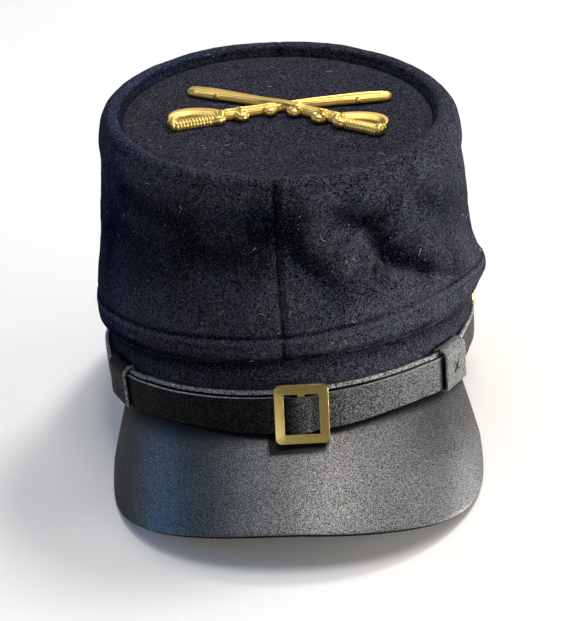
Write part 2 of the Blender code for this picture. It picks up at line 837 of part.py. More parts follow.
def build_badge(collection, cutters, parent):
    """Both sabres and the two posts, united in one casting with a flat back."""
    members = []
    for hand in (1, -1):
        members.append(build_scabbard(hand, cutters, parent))
        members.append(build_grip(hand, cutters, parent))
        members.append(build_bow(hand, cutters, parent))
        for place, sideways, *size in MOUNTS:
            members.append(build_mount(hand, place, sideways * MM, Vector(size) * MM,
                                       cutters, parent))
    first = members.pop(0)
    badge = add_object("badge", first.data.copy(), collection, parent, material(*BADGE_BRASS))
    bpy.data.objects.remove(first, do_unlink=True)
    for member in members:
        boolean(badge, member, "UNION", "MANIFOLD")
    reach = SABRE_CHORD
    below = box("badge_back", (-reach, -reach, -reach), (reach, reach, GAP), cutters, parent)
    boolean(badge, below, "DIFFERENCE", "MANIFOLD")
    length = POST_LENGTH + POST_ROOT
    for side in (-1, 1):
        post = cylinder("post", POST_RADIUS, length, 12, cutters, parent)
        post.location = badge_place(side * POST_SPREAD / 2.0, POST_Y,
                                    GAP + POST_ROOT - length / 2.0)
        boolean(badge, post, "UNION", "MANIFOLD")
    smooth(badge, 50.0)
    return badge


# Rest


def rest_rotation():
    """Rotation that sets the visor's two corners and the back of the band on the table."""
    drop = VISOR_WALL * Vector((0.0, math.sin(VISOR_SLOPE), -math.cos(VISOR_SLOPE)))
    edge = [point + drop for point in visor_rows()[0]]
    right = [point for point in edge if point.x < 0.0]
    left = [point for point in edge if point.x > 0.0]
    back = [band_point(turn) for turn in turns_between(90.0, 270.0, STRAP_STEP)]
    level = Vector((0.0, 0.0, 1.0))
    up = level
    for _ in range(REST_PASSES):
        first, second, third = (min(group, key=up.dot) for group in (right, left, back))
        up = (second - first).cross(third - first).normalized()
    return up.rotation_difference(level)


def world_box(things):
    """Lowest and highest corner of the things' evaluated shapes."""
    bpy.context.view_layer.update()
    graph = bpy.context.evaluated_depsgraph_get()
    points = []
    for thing in things:
        evaluated = thing.evaluated_get(graph)
        mesh = evaluated.to_mesh()
        points += [thing.matrix_world @ vertex.co for vertex in mesh.vertices]
        evaluated.to_mesh_clear()
    low = Vector([min(point[axis] for point in points) for axis in range(3)])
    high = Vector([max(point[axis] for point in points) for axis in range(3)])
    return low, high


def main():
    """Build the cap and set it down with its box's bottom centre at the origin."""
    clear_scene()
    pieces = new_collection("kepi_cap")
    cutters = new_collection("cutters")
    cutters.hide_render = True
    rest = bpy.data.objects.new("rest", None)
    pieces.objects.link(rest)
    rest.rotation_euler = rest_rotation().to_euler()
    top = bpy.data.objects.new("top_frame", None)
    pieces.objects.link(top)
    top.parent = rest
    top.location = TOP_CENTRE
    top.rotation_euler = (TOP_FORWARD_TILT, TOP_SIDE_TILT, 0.0)

    build_crown_half("crown_right", -180.0 + SEAM_TURN, -SEAM_TURN, pieces, rest)
    build_crown_half("crown_left", SEAM_TURN, 180.0 - SEAM_TURN, pieces, rest)
    build_crown_top(pieces, cutters, top)
    build_badge(pieces, cutters, top)
    build_band(pieces, cutters, rest)
    build_visor(pieces, rest)
    build_strap("strap_front", FRONT_STRAP_ROUTE, FRONT_STRAP_LOW, FRONT_STRAP_HIGH, -1,
                pieces, cutters, rest)
    build_strap("strap_back", BACK_STRAP_ROUTE, BACK_STRAP_LOW, BACK_STRAP_HIGH, 1,
                pieces, cutters, rest)
    build_buckle(pieces, cutters, rest)
    for side, hand in ((-1, "right"), (1, "left")):
        build_keeper("keeper_" + hand, side, pieces, rest)
        build_button("button_" + hand, side, pieces, rest)

    low, high = world_box([thing for thing in pieces.objects if thing.type == "MESH"])
    rest.location = (-(low.x + high.x) / 2.0, -(low.y + high.y) / 2.0, -low.z)
    bpy.context.view_layer.update()


main()
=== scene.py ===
"""A wool kepi cap with a leather visor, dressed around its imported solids.

Every piece is drawn in the cap's own frame: the band stands on the plane z = 0, the front
faces -Y and +X is the wearer's left. A turn is an angle round the band in degrees, 0 at the
front and growing towards +X. Each finished mesh is then tipped into the pose in which the
cap rests on a table.
"""

import logging
import math
import random
from collections.abc import Iterable, Iterator, Sequence
from contextlib import contextmanager
from dataclasses import dataclass, field
from enum import Enum

import bmesh
import bpy
from mathutils import Euler, Matrix, Vector, noise


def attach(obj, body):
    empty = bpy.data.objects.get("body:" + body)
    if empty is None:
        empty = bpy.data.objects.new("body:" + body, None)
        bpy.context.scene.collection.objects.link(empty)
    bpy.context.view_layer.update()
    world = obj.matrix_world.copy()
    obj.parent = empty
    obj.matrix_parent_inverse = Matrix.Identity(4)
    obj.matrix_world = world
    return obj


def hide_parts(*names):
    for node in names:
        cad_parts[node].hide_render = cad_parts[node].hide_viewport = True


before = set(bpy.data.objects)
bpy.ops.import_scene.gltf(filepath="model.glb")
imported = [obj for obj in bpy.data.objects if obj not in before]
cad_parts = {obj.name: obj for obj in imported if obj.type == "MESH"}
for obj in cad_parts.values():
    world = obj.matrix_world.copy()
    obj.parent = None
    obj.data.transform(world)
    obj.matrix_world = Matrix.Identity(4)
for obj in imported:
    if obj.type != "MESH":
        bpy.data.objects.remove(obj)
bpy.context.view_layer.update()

MM = 0.001
LOG = logging.getLogger("kepi")
ANY_DIRECTION = Vector((0.31, 0.17, 0.93))  # no thread runs this way

Mesh = bpy.types.Mesh
Material = bpy.types.Material
Socket = bpy.types.NodeSocket
Colour = tuple[float, float, float]
Triple = tuple[float, float, float]
Pair = tuple[float, float]
Grid = list[list[Vector]]


# Sums on plain numbers and points


def ease(share: float) -> float:
    """Smooth step from 0 to 1."""
    share = min(1.0, max(0.0, share))
    return share * share * (3.0 - 2.0 * share)


def grow(value: float, start: float, end: float) -> float:
    """Smooth change of a value from 0 at the start to 1 at the end."""
    return ease((value - start) / (end - start))


def hump(distance: float, width: float) -> float:
    """Round hump that is 1 at no distance and fades over a width."""
    return math.exp(-(distance / width) ** 2)


@dataclass(frozen=True)
class Mark:
    """A soft line across a surface: its place, its width and its strength."""

    place: float
    width: float
    size: float

    def at(self, distance: float) -> float:
        """Its strength at a distance."""
        return self.size * hump(distance - self.place, self.width)


def waver(point: Vector, waves: float, size: float) -> float:
    """Random waviness at a point, with a number of waves to the metre."""
    return size * noise.noise(point * waves)


def along(rows: Sequence[Sequence[float]], place: float) -> tuple[float, ...]:
    """Read the columns of a table at a place given by its first column.

    Args:
        rows: The table, sorted by its first column.
        place: Where to read it.

    Returns:
        The other columns' values there.
    """
    if place <= rows[0][0]:
        return tuple(rows[0][1:])
    for low, high in zip(rows, rows[1:]):
        if place <= high[0]:
            share = ease((place - low[0]) / (high[0] - low[0]))
            return tuple(a + (b - a) * share for a, b in zip(low[1:], high[1:]))
    return tuple(rows[-1][1:])


def evenly(start: float, end: float, count: int) -> list[float]:
    """Numbers from start to end in equal steps, both ends included."""
    return [start + (end - start) * i / count for i in range(count + 1)]


def circle(count: int) -> list[float]:
    """Angles round a full circle in equal steps, in radians."""
    return [math.tau * i / count for i in range(count)]


def way_along(points: Sequence[Vector]) -> list[float]:
    """Measure a line from its start.

    Args:
        points: The line's points.

    Returns:
        The way from the first point to each.
    """
    ways = [0.0]
    for a, b in zip(points, points[1:]):
        ways.append(ways[-1] + (b - a).length)
    return ways


def curve_piece(knots: Sequence[Vector], share: float) -> Vector:
    """A point between the two middle ones of four, on the smooth curve through them all.

    Args:
        knots: Four points in order.
        share: Place between the second (0) and the third (1).

    Returns:
        The point on the curve.
    """
    times = [0.0]
    for a, b in zip(knots, knots[1:]):
        times.append(times[-1] + max(1e-6, math.sqrt((b - a).length)))
    t = times[1] + (times[2] - times[1]) * share
    for reach in (1, 2):
        knots = [a.lerp(b, (t - times[i]) / (times[i + reach] - times[i]))
                 for i, (a, b) in enumerate(zip(knots, knots[1:]))]
    return knots[0].lerp(knots[1], (t - times[1]) / (times[2] - times[1]))


def smooth_loop(points: Sequence[Vector], spacing: float) -> list[Vector]:
    """A dense smooth loop through a few points.

    Args:
        points: The points that the loop passes through.
        spacing: Largest distance between the loop's own points.

    Returns:
        The loop's points.
    """
    knots = [points[-1], *points, points[0], points[1]]
    loop = []
    for i in range(len(points)):
        steps = max(1, math.ceil((knots[i + 2] - knots[i + 1]).length / spacing))
        loop += [curve_piece(knots[i:i + 4], j / steps) for j in range(steps)]
    return loop


# Shader maths


class Value:
    """A number that varies over a surface, for use in plain expressions."""

    def __init__(self, bench: "Bench", socket: Socket) -> None:
        """Wrap a socket of a bench's node tree."""
        self.bench = bench
        self.socket = socket

    def _sum(self, operation: str, *terms: "Value | float") -> "Value":
        """Add a Math node that works on the terms in order."""
        made = self.bench.node("ShaderNodeMath", {"operation": operation},
                               dict(enumerate(terms)))
        return Value(self.bench, made.outputs[0])

    def __add__(self, other: "Value | float") -> "Value":
        """Sum."""
        return self._sum("ADD", self, other)

    __radd__ = __add__

    def __sub__(self, other: "Value | float") -> "Value":
        """Difference."""
        return self._sum("SUBTRACT", self, other)

    def __rsub__(self, other: float) -> "Value":
        """Difference from a number."""
        return self._sum("SUBTRACT", other, self)

    def __mul__(self, other: "Value | float") -> "Value":
        """Product."""
        return self._sum("MULTIPLY", self, other)

    __rmul__ = __mul__

    def __truediv__(self, other: "Value | float") -> "Value":
        """Quotient."""
        return self._sum("DIVIDE", self, other)

    def __abs__(self) -> "Value":
        """Size without sign."""
        return self._sum("ABSOLUTE", self)

    def clamp(self) -> "Value":
        """Held between 0 and 1."""
        return self._sum("MINIMUM", self._sum("MAXIMUM", self, 0.0), 1.0)

    def above(self, edge: float, softness: float) -> "Value":
        """1 where the value lies above an edge, with a soft change."""
        return ((self - (edge - softness)) / (2.0 * softness)).clamp()


class Bench:
    """The node tree of one material, and the ways to add to it."""

    def __init__(self, name: str) -> None:
        """Start a material with a bare Principled shader.

        Args:
            name: The material's name.
        """
        self.material = bpy.data.materials.new(name)
        self.material.use_nodes = True
        self.tree = self.material.node_tree
        self.shader = self.tree.nodes["Principled BSDF"]
        self.place = self.node("ShaderNodeTexCoord").outputs["Object"]

    def node(self, kind: str, settings: dict | None = None, sockets: dict | None = None
             ) -> bpy.types.Node:
        """Add a node.

        Args:
            kind: The node's type.
            settings: Its properties, which are set first.
            sockets: Values or links of its inputs, by name or number.

        Returns:
            The node.
        """
        made = self.tree.nodes.new(kind)
        for key, value in (settings or {}).items():
            setattr(made, key, value)
        for key, value in (sockets or {}).items():
            self.feed(made.inputs[key], value)
        return made

    def feed(self, socket: Socket, value: object) -> None:
        """Give an input a value, or a link to another node's output.

        Args:
            socket: The input.
            value: A number, a colour, a vector, a socket or a Value.
        """
        if isinstance(value, Value):
            value = value.socket
        if isinstance(value, Socket):
            self.tree.links.new(value, socket)
        elif isinstance(value, tuple) and len(value) == 3 and socket.type == "RGBA":
            socket.default_value = (*value, 1.0)
        else:
            socket.default_value = value

    def dress(self, **sockets: object) -> Material:
        """Feed the shader's own inputs.

        Args:
            sockets: Values or links by the input's name, with _ for a space.

        Returns:
            The material.
        """
        for key, value in sockets.items():
            self.feed(self.shader.inputs[key.replace("_", " ")], value)
        return self.material

    def mix(self, share: "Value | float", first: object, second: object
            ) -> Socket:
        """Mix two colours."""
        made = self.node("ShaderNodeMix", {"data_type": "RGBA"},
                         {0: share, 6: first, 7: second})
        return made.outputs[2]

    def stretch(self, scale: Triple, turned: Triple = (0.0, 0.0, 0.0)) -> Socket:
        """Places turned and stretched, for streaks that run one way."""
        made = self.node("ShaderNodeMapping", {}, {"Vector": self.place, "Scale": scale,
                                                   "Rotation": turned})
        return made.outputs[0]

    def noise(self, scale: float, detail: float = 3.0, roughness: float = 0.6,
              place: Socket | None = None, warp: float = 0.0) -> Value:
        """Cloudy noise.

        Args:
            scale: Clouds to the metre.
            detail: How many finer layers it has.
            roughness: Strength of the finer layers.
            place: Where it is read, if not at the plain place on the object.
            warp: How much it is distorted.

        Returns:
            The noise, about 0.5 on average.
        """
        made = self.node("ShaderNodeTexNoise", {},
                         {"Vector": place or self.place, "Scale": scale, "Detail": detail,
                          "Roughness": roughness, "Distortion": warp})
        return Value(self, made.outputs[0])

    def read(self, name: str) -> Value:
        """The numbers kept at a mesh's points under a name, 0 where it has none."""
        made = self.node("ShaderNodeAttribute", {"attribute_name": name})
        return Value(self, made.outputs["Fac"])

    def cells(self, scale: float) -> Value:
        """Distance to the middle of scattered cells, as many to the metre as the scale."""
        made = self.node("ShaderNodeTexVoronoi", {}, {"Vector": self.place, "Scale": scale})
        return Value(self, made.outputs["Distance"])

    def strands(self, scale: float, width: float) -> Value:
        """Thin wandering lines, 1 on the line."""
        cloud = self.noise(scale, 1.0, 0.5, warp=0.5)
        return (1.0 - abs(cloud - 0.5) / width).clamp()

    def relief(self, height: Value, depth: float, strength: float = 1.0
               ) -> Socket:
        """Surface normal of a fine relief, with its depth in metres."""
        made = self.node("ShaderNodeBump", {}, {"Height": height, "Distance": depth,
                                                "Strength": strength})
        return made.outputs[0]


# Finishes


@dataclass(frozen=True)
class WoolFinish:
    """Fulled wool cloth: a matt felted face with a nap of short hairs."""

    name: str = "navy_wool"
    deep: Colour = (0.0005, 0.0006, 0.0024)
    open: Colour = (0.0345, 0.0405, 0.0630)
    brown: Colour = (0.0425, 0.0385, 0.0540)
    # Painted blue that stands in for blue light on the wearer's right side.
    painted_blue: Colour = (0.0090, 0.0250, 0.0800)
    hair: Colour = (0.1250, 0.1250, 0.1500)
    middle_tone: float = 0.235
    grain_contrast: float = 8.2
    clump_contrast: float = 1.0
    patch_contrast: float = 0.7
    # How strongly the painted shade from the mesh darkens or lightens the cloth.
    painted_shade_contrast: float = 0.34
    hair_cover: float = 0.58
    speck_cover: float = 0.45
    sheen: float = 0.006
    sheen_tint: Colour = (0.80, 0.84, 1.00)
    depth: float = 0.5 * MM

    def make(self) -> Material:
        """Make the cloth's material.

        Returns:
            The material. It reads the painted shade and a painted blue tint from the mesh.
        """
        bench = Bench(self.name)
        # Painted shade and painted blue tint, as numbers kept on the mesh.
        nap, painted_blue_tint = bench.read("nap"), bench.read("painted_blue_tint")
        patches = bench.noise(110.0, 2.0, 0.5)
        clumps = bench.noise(520.0, 2.0, 0.6, warp=0.4)
        grain = bench.noise(1550.0, 3.0, 0.82)
        hairs = (bench.strands(430.0, 0.018) + bench.strands(640.0, 0.022)
                 + bench.strands(980.0, 0.030)).clamp()
        tone = ((clumps - 0.5) * self.clump_contrast + (grain - 0.5) * self.grain_contrast
                + (patches - 0.5) * self.patch_contrast + nap * self.painted_shade_contrast
                + self.middle_tone).clamp()
        face = bench.mix(bench.noise(62.0, 3.0, 0.7).above(0.5, 0.13), self.open, self.brown)
        # The face is mixed towards the painted blue where the mesh asks for the painted blue
        # tint.
        colour = bench.mix(tone, self.deep, bench.mix(painted_blue_tint, face, self.painted_blue))
        specks = grain.above(0.62, 0.05)
        # Fewer pale hairs show where the painted shade is dark.
        shown = (nap * 0.8 + 1.0).clamp()
        pale = (hairs * self.hair_cover + specks * self.speck_cover) * shown
        height = clumps * 0.35 + grain * 0.8 + hairs * 0.35
        return bench.dress(
            Base_Color=bench.mix(pale.clamp(), colour, self.hair), Roughness=0.95,
            Specular_IOR_Level=0.0, Sheen_Weight=self.sheen, Sheen_Roughness=0.5,
            Sheen_Tint=self.sheen_tint, Normal=bench.relief(height, self.depth, 0.9))


@dataclass(frozen=True)
class LeatherFinish:
    """Dyed leather with a pebbled grain, rubbed flecks and, in places, painted sheen or light.

    Where it names a painted sheen or painted light, the mesh says how much each place has.
    """

    name: str
    colour: Colour
    rubbed: Colour
    grain: float
    depth: float
    specular: float
    flecks: float
    sparkle: float = 0.5
    roughness: float = 0.42
    spread: float = 0.16
    fleck_colour: Colour = (0.30, 0.29, 0.28)
    # Attribute and colour of painted sheen, with its speckled grain and pale specks.
    painted_sheen: str = ""
    painted_sheen_and_specks: Colour = (0.170, 0.178, 0.173)
    sheen_speckle_contrast: float = 15.0
    sheen_speckle_tone: float = 0.75
    pale_speck_cover: float = 0.40
    # Attribute of painted light: low where painted shadow dims the coat and the colour.
    painted_light: str = ""
    painted_shadow_tone: float = 0.3
    gleam_contrast: float = 8.0
    gleam_tone: float = 0.33
    gleam_index: float = 2.25

    def make(self) -> Material:
        """Make the leather's material.

        Returns:
            The material.
        """
        bench = Bench(self.name)
        pebbles = bench.cells(self.grain)
        pores = bench.noise(1.3 * self.grain, 2.0, 0.6)
        clouds = bench.noise(75.0, 3.0, 0.6)
        flecks = bench.noise(1350.0, 2.0, 0.5).above(0.70, 0.02)
        scuffed = bench.noise(48.0, 2.0, 0.5).above(0.56, 0.07)
        marks = (flecks * scuffed * self.flecks).clamp()
        tone = ((clouds - 0.5) * 1.2 + (pores - 0.5) * 2.4 + 0.3).clamp()
        colour = bench.mix(tone * 0.5, self.colour, self.rubbed)
        # Painted sheen: lighter grey with a speckled grain where the mesh asks, plus pale specks.
        if self.painted_sheen:
            speckle = bench.noise(2300.0, 2.0, 0.8)
            grainy = (speckle - 0.5) * self.sheen_speckle_contrast + (pebbles - 0.4) + self.sheen_speckle_tone
            shown = bench.read(self.painted_sheen) * grainy + speckle.above(0.63, 0.04) * self.pale_speck_cover
            colour = bench.mix(shown.clamp(), colour, self.painted_sheen_and_specks)
        colour = bench.mix(marks, colour, self.fleck_colour)
        # Painted light: the coat's gleam and the colour fade into painted shadow where it is low.
        if self.painted_light:
            painted_light = bench.read(self.painted_light)
            gleam = ((bench.noise(2700.0, 2.0, 0.8) - 0.5) * self.gleam_contrast
                     + (pebbles - 0.4) * 0.8 + self.gleam_tone)
            bench.dress(Coat_Weight=(gleam.clamp() * painted_light).clamp(),
                        Coat_Roughness=self.roughness, Coat_IOR=self.gleam_index)
            painted_shadow = tuple(self.painted_shadow_tone * part for part in self.colour)
            colour = bench.mix((painted_light * 2.2).clamp(), painted_shadow, colour)
        rough = (self.roughness + (clouds - 0.5) * self.spread
                 + (pores - 0.5) * self.sparkle + marks * 0.3).clamp()
        height = pebbles * 0.8 + pores * 0.7 + marks * 0.4
        return bench.dress(
            Base_Color=colour, Roughness=rough, Specular_IOR_Level=self.specular,
            Normal=bench.relief(height, self.depth))


@dataclass(frozen=True)
class RawEdgeFinish:
    """The cut edge of leather, pale and fibrous."""

    name: str = "raw_edge"
    dark: Colour = (0.008, 0.008, 0.008)
    pale: Colour = (0.500, 0.490, 0.480)
    middle_tone: float = 0.26
    fuzz_contrast: float = 6.0
    clump_contrast: float = 2.0
    depth: float = 0.35 * MM

    def make(self) -> Material:
        """Make the cut edge's material.

        Returns:
            The material.
        """
        bench = Bench(self.name)
        fuzz = bench.noise(2500.0, 3.0, 0.8, warp=0.6)
        clumps = bench.noise(800.0, 2.0, 0.5)
        fibres = bench.strands(900.0, 0.03)
        tone = ((fuzz - 0.5) * self.fuzz_contrast + (clumps - 0.5) * self.clump_contrast
                + fibres * 0.5 + self.middle_tone).clamp()
        return bench.dress(
            Base_Color=bench.mix(tone, self.dark, self.pale), Roughness=0.95,
            Specular_IOR_Level=0.2,
            Normal=bench.relief(fuzz + fibres * 0.5, self.depth, 0.9))


@dataclass(frozen=True)
class BrassFinish:
    """Brass with tarnish in its hollows and rubbed high places."""

    name: str
    metal: Colour
    tarnish: Colour
    roughness: float
    tarnished: float
    hollows: str = ""
    brushing: float = 1.0
    depth: float = 0.07 * MM

    def make(self) -> Material:
        """Make the metal's material.

        Returns:
            The material.
        """
        bench = Bench(self.name)
        clouds = bench.noise(160.0, 4.0, 0.65)
        pits = bench.noise(1700.0, 3.0, 0.6)
        brushed = bench.noise(900.0, 2.0, 0.6, bench.stretch((0.15, 1.0, 1.0), (0.0, 0.0, 0.3)))
        tarnish = ((clouds - 0.45) * 1.6 * self.tarnished + (pits - 0.55) * 0.8
                   * self.tarnished).clamp()
        if self.hollows:
            tarnish = (tarnish + bench.read(self.hollows)).clamp()
        rough = (self.roughness + tarnish * 0.30
                 + (brushed - 0.5) * 0.22 * self.brushing).clamp()
        height = pits * 0.5 + brushed * 0.3 * self.brushing + clouds * 0.4
        return bench.dress(
            Base_Color=bench.mix(tarnish, self.metal, self.tarnish), Metallic=1.0,
            Roughness=rough, Normal=bench.relief(height, self.depth, 0.6))


@dataclass(frozen=True)
class ThreadFinish:
    """Waxed sewing thread or a stray fibre, in one colour with a slight change."""

    name: str
    colour: Colour
    roughness: float = 0.7

    def make(self) -> Material:
        """Make the thread's material.

        Returns:
            The material.
        """
        bench = Bench(self.name)
        change = bench.noise(500.0, 2.0, 0.5)
        darker = tuple(0.45 * part for part in self.colour)
        return bench.dress(Base_Color=bench.mix(change, darker, self.colour),
                           Roughness=self.roughness, Specular_IOR_Level=0.3)


@dataclass(frozen=True)
class FloorFinish:
    """Plain pale floor."""

    name: str = "floor_paper"
    colour: Colour = (0.690, 0.672, 0.652)

    def make(self) -> Material:
        """Make the floor's material."""
        bench = Bench(self.name)
        return bench.dress(Base_Color=self.colour, Roughness=0.9, Specular_IOR_Level=0.1)


class Slot(Enum):
    """Material slots of the record."""

    WOOL = "wool"
    VISOR = "visor_leather"
    STRAP = "strap_leather"
    BUCKLE = "buckle_brass"
    BADGE = "badge_brass"


@dataclass
class Wardrobe:
    """Every finish of the cap, made once."""

    wool: Material = field(default_factory=WoolFinish().make)
    visor: Material = field(default_factory=LeatherFinish(
        "visor_leather", colour=(0.0060, 0.0058, 0.0062), rubbed=(0.045, 0.043, 0.043),
        grain=1700.0, depth=0.06 * MM, specular=0.05, flecks=0.55, sparkle=0.7,
        painted_light="painted_light").make)
    strap: Material = field(default_factory=LeatherFinish(
        "strap_leather", colour=(0.0012, 0.0012, 0.0012), rubbed=(0.010, 0.009, 0.009),
        grain=1000.0, depth=0.15 * MM, specular=0.02, flecks=0.3, painted_sheen="painted_sheen").make)
    raw_edge: Material = field(default_factory=RawEdgeFinish().make)
    cut_edge: Material = field(default_factory=RawEdgeFinish(
        "cut_edge", (0.160, 0.158, 0.150), (0.740, 0.725, 0.705)).make)
    buckle: Material = field(default_factory=BrassFinish(
        "buckle_brass", (0.275, 0.216, 0.072), (0.140, 0.107, 0.045), 0.28, 0.6,
        brushing=0.3).make)
    badge: Material = field(default_factory=BrassFinish(
        "badge_brass", (0.660, 0.455, 0.125), (0.100, 0.054, 0.014), 0.35, 0.55,
        "hollow", depth=0.22 * MM).make)
    button: Material = field(default_factory=BrassFinish(
        "button_brass", (0.720, 0.500, 0.160), (0.230, 0.150, 0.060), 0.26, 0.4).make)
    black_thread: Material = field(default_factory=ThreadFinish(
        "black_thread", (0.012, 0.012, 0.012)).make)
    lint: Material = field(default_factory=ThreadFinish(
        "lint", (0.62, 0.62, 0.60)).make)
    nap: Material = field(default_factory=ThreadFinish(
        "wool_nap", (0.060, 0.066, 0.088), 0.9).make)


# Meshes


@contextmanager
def opened(mesh: Mesh) -> Iterator[bmesh.types.BMesh]:
    """Open a mesh to work on it, and write the work back at the end.

    Args:
        mesh: The mesh.

    Yields:
        Its opened shape.
    """
    shape = bmesh.new()
    shape.from_mesh(mesh)
    shape.verts.ensure_lookup_table()
    yield shape
    shape.to_mesh(mesh)
    shape.free()


def put_in_scene(name: str, data: bpy.types.ID) -> bpy.types.Object:
    """Make an object of a mesh, lamp or camera and put it in the scene.

    Args:
        name: The object's name.
        data: What it shows.

    Returns:
        The object.
    """
    made = bpy.data.objects.new(name, data)
    bpy.context.scene.collection.objects.link(made)
    return made


def sheet_mesh(name: str, rows: Grid, round_columns: bool = False, round_rows: bool = False
               ) -> Mesh:
    """Make a mesh of quads between equal rows of points.

    Its faces look to the side from which the columns run right and the rows run up.

    Args:
        name: The mesh's name.
        rows: Points, row by row.
        round_columns: True if each row's end meets its start.
        round_rows: True if the last row meets the first.

    Returns:
        The mesh.
    """
    width, count = len(rows[0]), len(rows)
    faces = []
    for i in range(count if round_rows else count - 1):
        low, high = i * width, (i + 1) % count * width
        for j in range(width if round_columns else width - 1):
            k = (j + 1) % width
            faces.append((low + j, low + k, high + k, high + j))
    mesh = bpy.data.meshes.new(name)
    mesh.from_pydata([point for row in rows for point in row], [], faces)
    return mesh


def shell_mesh(name: str, outer: Grid, inner: Grid) -> Mesh:
    """Make a closed wall between two grids of the same size.

    Args:
        name: The mesh's name.
        outer: Points of the side that the faces look to.
        inner: Points of the other side.

    Returns:
        The mesh.
    """
    width, count = len(outer[0]), len(outer)
    back = width * count
    faces = []
    for i in range(count - 1):
        for j in range(width - 1):
            a = i * width + j
            faces.append((a, a + 1, a + width + 1, a + width))
            faces.append((back + a, back + a + width, back + a + width + 1, back + a + 1))
    low = list(range(width))
    right = [i * width + width - 1 for i in range(count)]
    top = [(count - 1) * width + j for j in reversed(range(width))]
    left = [i * width for i in reversed(range(count))]
    for side in (low, right, top, left):
        faces += [(b, a, back + a, back + b) for a, b in zip(side, side[1:])]
    mesh = bpy.data.meshes.new(name)
    mesh.from_pydata([point for grid in (outer, inner) for row in grid for point in row],
                     [], faces)
    return mesh


def tube_mesh(name: str, rows: Grid) -> Mesh:
    """Make a closed tube with its faces turned out.

    Args:
        name: The mesh's name.
        rows: The tube's rings.

    Returns:
        The mesh.
    """
    mesh = sheet_mesh(name, rows, round_columns=True)
    with opened(mesh) as shape:
        bmesh.ops.holes_fill(shape, edges=shape.edges, sides=0)
        bmesh.ops.recalc_face_normals(shape, faces=shape.faces)
    return mesh


def disc_mesh(name: str, rows: Grid) -> Mesh:
    """Make a disc with its faces turned up.

    Args:
        name: The mesh's name.
        rows: Its rings, from the edge inwards.

    Returns:
        The mesh, with a point added in the middle of the smallest ring.
    """
    mesh = sheet_mesh(name, rows, round_columns=True)
    with opened(mesh) as shape:
        ring = shape.verts[-len(rows[0]):]
        centre = shape.verts.new(sum((vert.co for vert in ring), Vector()) / len(ring))
        for a, b in zip(ring, ring[1:] + ring[:1]):
            shape.faces.new((a, b, centre))
        bmesh.ops.recalc_face_normals(shape, faces=shape.faces)
        if sum(face.normal.z for face in shape.faces) < 0.0:
            bmesh.ops.reverse_faces(shape, faces=shape.faces)
    return mesh


def join_meshes(name: str, meshes: Iterable[Mesh]) -> Mesh:
    """Put several meshes in one.

    Args:
        name: The new mesh's name.
        meshes: The meshes.

    Returns:
        The new mesh.
    """
    joined = bpy.data.meshes.new(name)
    with opened(joined) as shape:
        for mesh in meshes:
            shape.from_mesh(mesh)
    return joined


def note(mesh: Mesh, name: str, values: Sequence[float]) -> None:
    """Keep a number for each point of a mesh, for its finish to read."""
    made = mesh.attributes.new(name, "FLOAT", "POINT")
    made.data.foreach_set("value", values)


def thread_tube(name: str, line: Sequence[Vector], radius: float, sides: int = 6
                ) -> Mesh:
    """Make a closed round tube along a line, tapered a little at both ends.

    Args:
        name: The mesh's name.
        line: The line's points.
        radius: The tube's radius.
        sides: Number of its sides.

    Returns:
        The mesh.
    """
    rows = []
    for i, point in enumerate(line):
        way = (line[min(i + 1, len(line) - 1)] - line[max(i - 1, 0)]).normalized()
        side = way.cross(ANY_DIRECTION).normalized()
        up = side.cross(way)
        reach = radius * (0.45 if i in (0, len(line) - 1) else 1.0)
        rows.append([point + reach * (math.cos(a) * side + math.sin(a) * up)
                     for a in circle(sides)])
    return tube_mesh(name, rows)


def grid_normals(rows: Grid) -> Grid:
    """Find the outward directions at the points of a grid.

    Args:
        rows: The grid's rows of points.

    Returns:
        The directions, in rows like the points.
    """
    normals = []
    for i, row in enumerate(rows):
        below, over = rows[max(i - 1, 0)], rows[min(i + 1, len(rows) - 1)]
        line = []
        for j in range(len(row)):
            right = row[min(j + 1, len(row) - 1)] - row[max(j - 1, 0)]
            up = over[j] - below[j]
            line.append(right.cross(up).normalized())
        normals.append(line)
    return normals


# The cap's frame


@dataclass(frozen=True)
class RestPose:
    """How the cap's own frame lies in the world while it rests on a table."""

    place: Triple = (-0.6598 * MM, 16.3802 * MM, 18.8331 * MM)
    tilt: float = math.radians(-11.52046)
    roll: float = math.radians(-0.33081)
    heading: float = math.radians(0.03337)

    def matrix(self) -> Matrix:
        """The pose as a matrix."""
        turned = Euler((self.tilt, self.roll, self.heading)).to_matrix().to_4x4()
        return Matrix.Translation(self.place) @ turned


@dataclass(frozen=True)
class HeadOval:
    """The band's oval, to which every other piece is fitted."""

    half_width: float = 84.0 * MM
    half_length: float = 94.3 * MM

    def point(self, turn: float, out: float = 0.0, height: float = 0.0, slant: float = 0.0
              ) -> Vector:
        """A point beside the band's outer face.

        Args:
            turn: Angle round the band.
            out: Distance out from the face.
            height: Height above the band's lower edge.
            slant: Rise towards +X, for each metre.

        Returns:
            The point in the cap's frame.
        """
        angle = math.radians(turn)
        x = (self.half_width + out) * math.sin(angle)
        y = -(self.half_length + out) * math.cos(angle)
        return Vector((x, y, height + slant * x))

    def heading(self, turn: float) -> float:
        """Angle about Z from the front's outward direction to a turn's."""
        angle = math.radians(turn)
        return math.atan2(math.sin(angle) / self.half_width,
                          math.cos(angle) / self.half_length)

    def outward(self, turn: float) -> Vector:
        """Outward direction at a turn."""
        heading = self.heading(turn)
        return Vector((math.sin(heading), -math.cos(heading), 0.0))


@dataclass(frozen=True)
class TopOval:
    """Place, size and tilt of the crown's top."""

    centre: Triple = (2.9 * MM, -32.3 * MM, 114.0 * MM)
    half_width: float = 64.8 * MM
    half_length: float = 61.7 * MM
    forward: float = math.radians(17.4)
    sideways: float = math.radians(3.8)

    def matrix(self) -> Matrix:
        """The top's frame within the cap's."""
        tilt = Euler((self.forward, self.sideways, 0.0)).to_matrix().to_4x4()
        return Matrix.Translation(self.centre) @ tilt


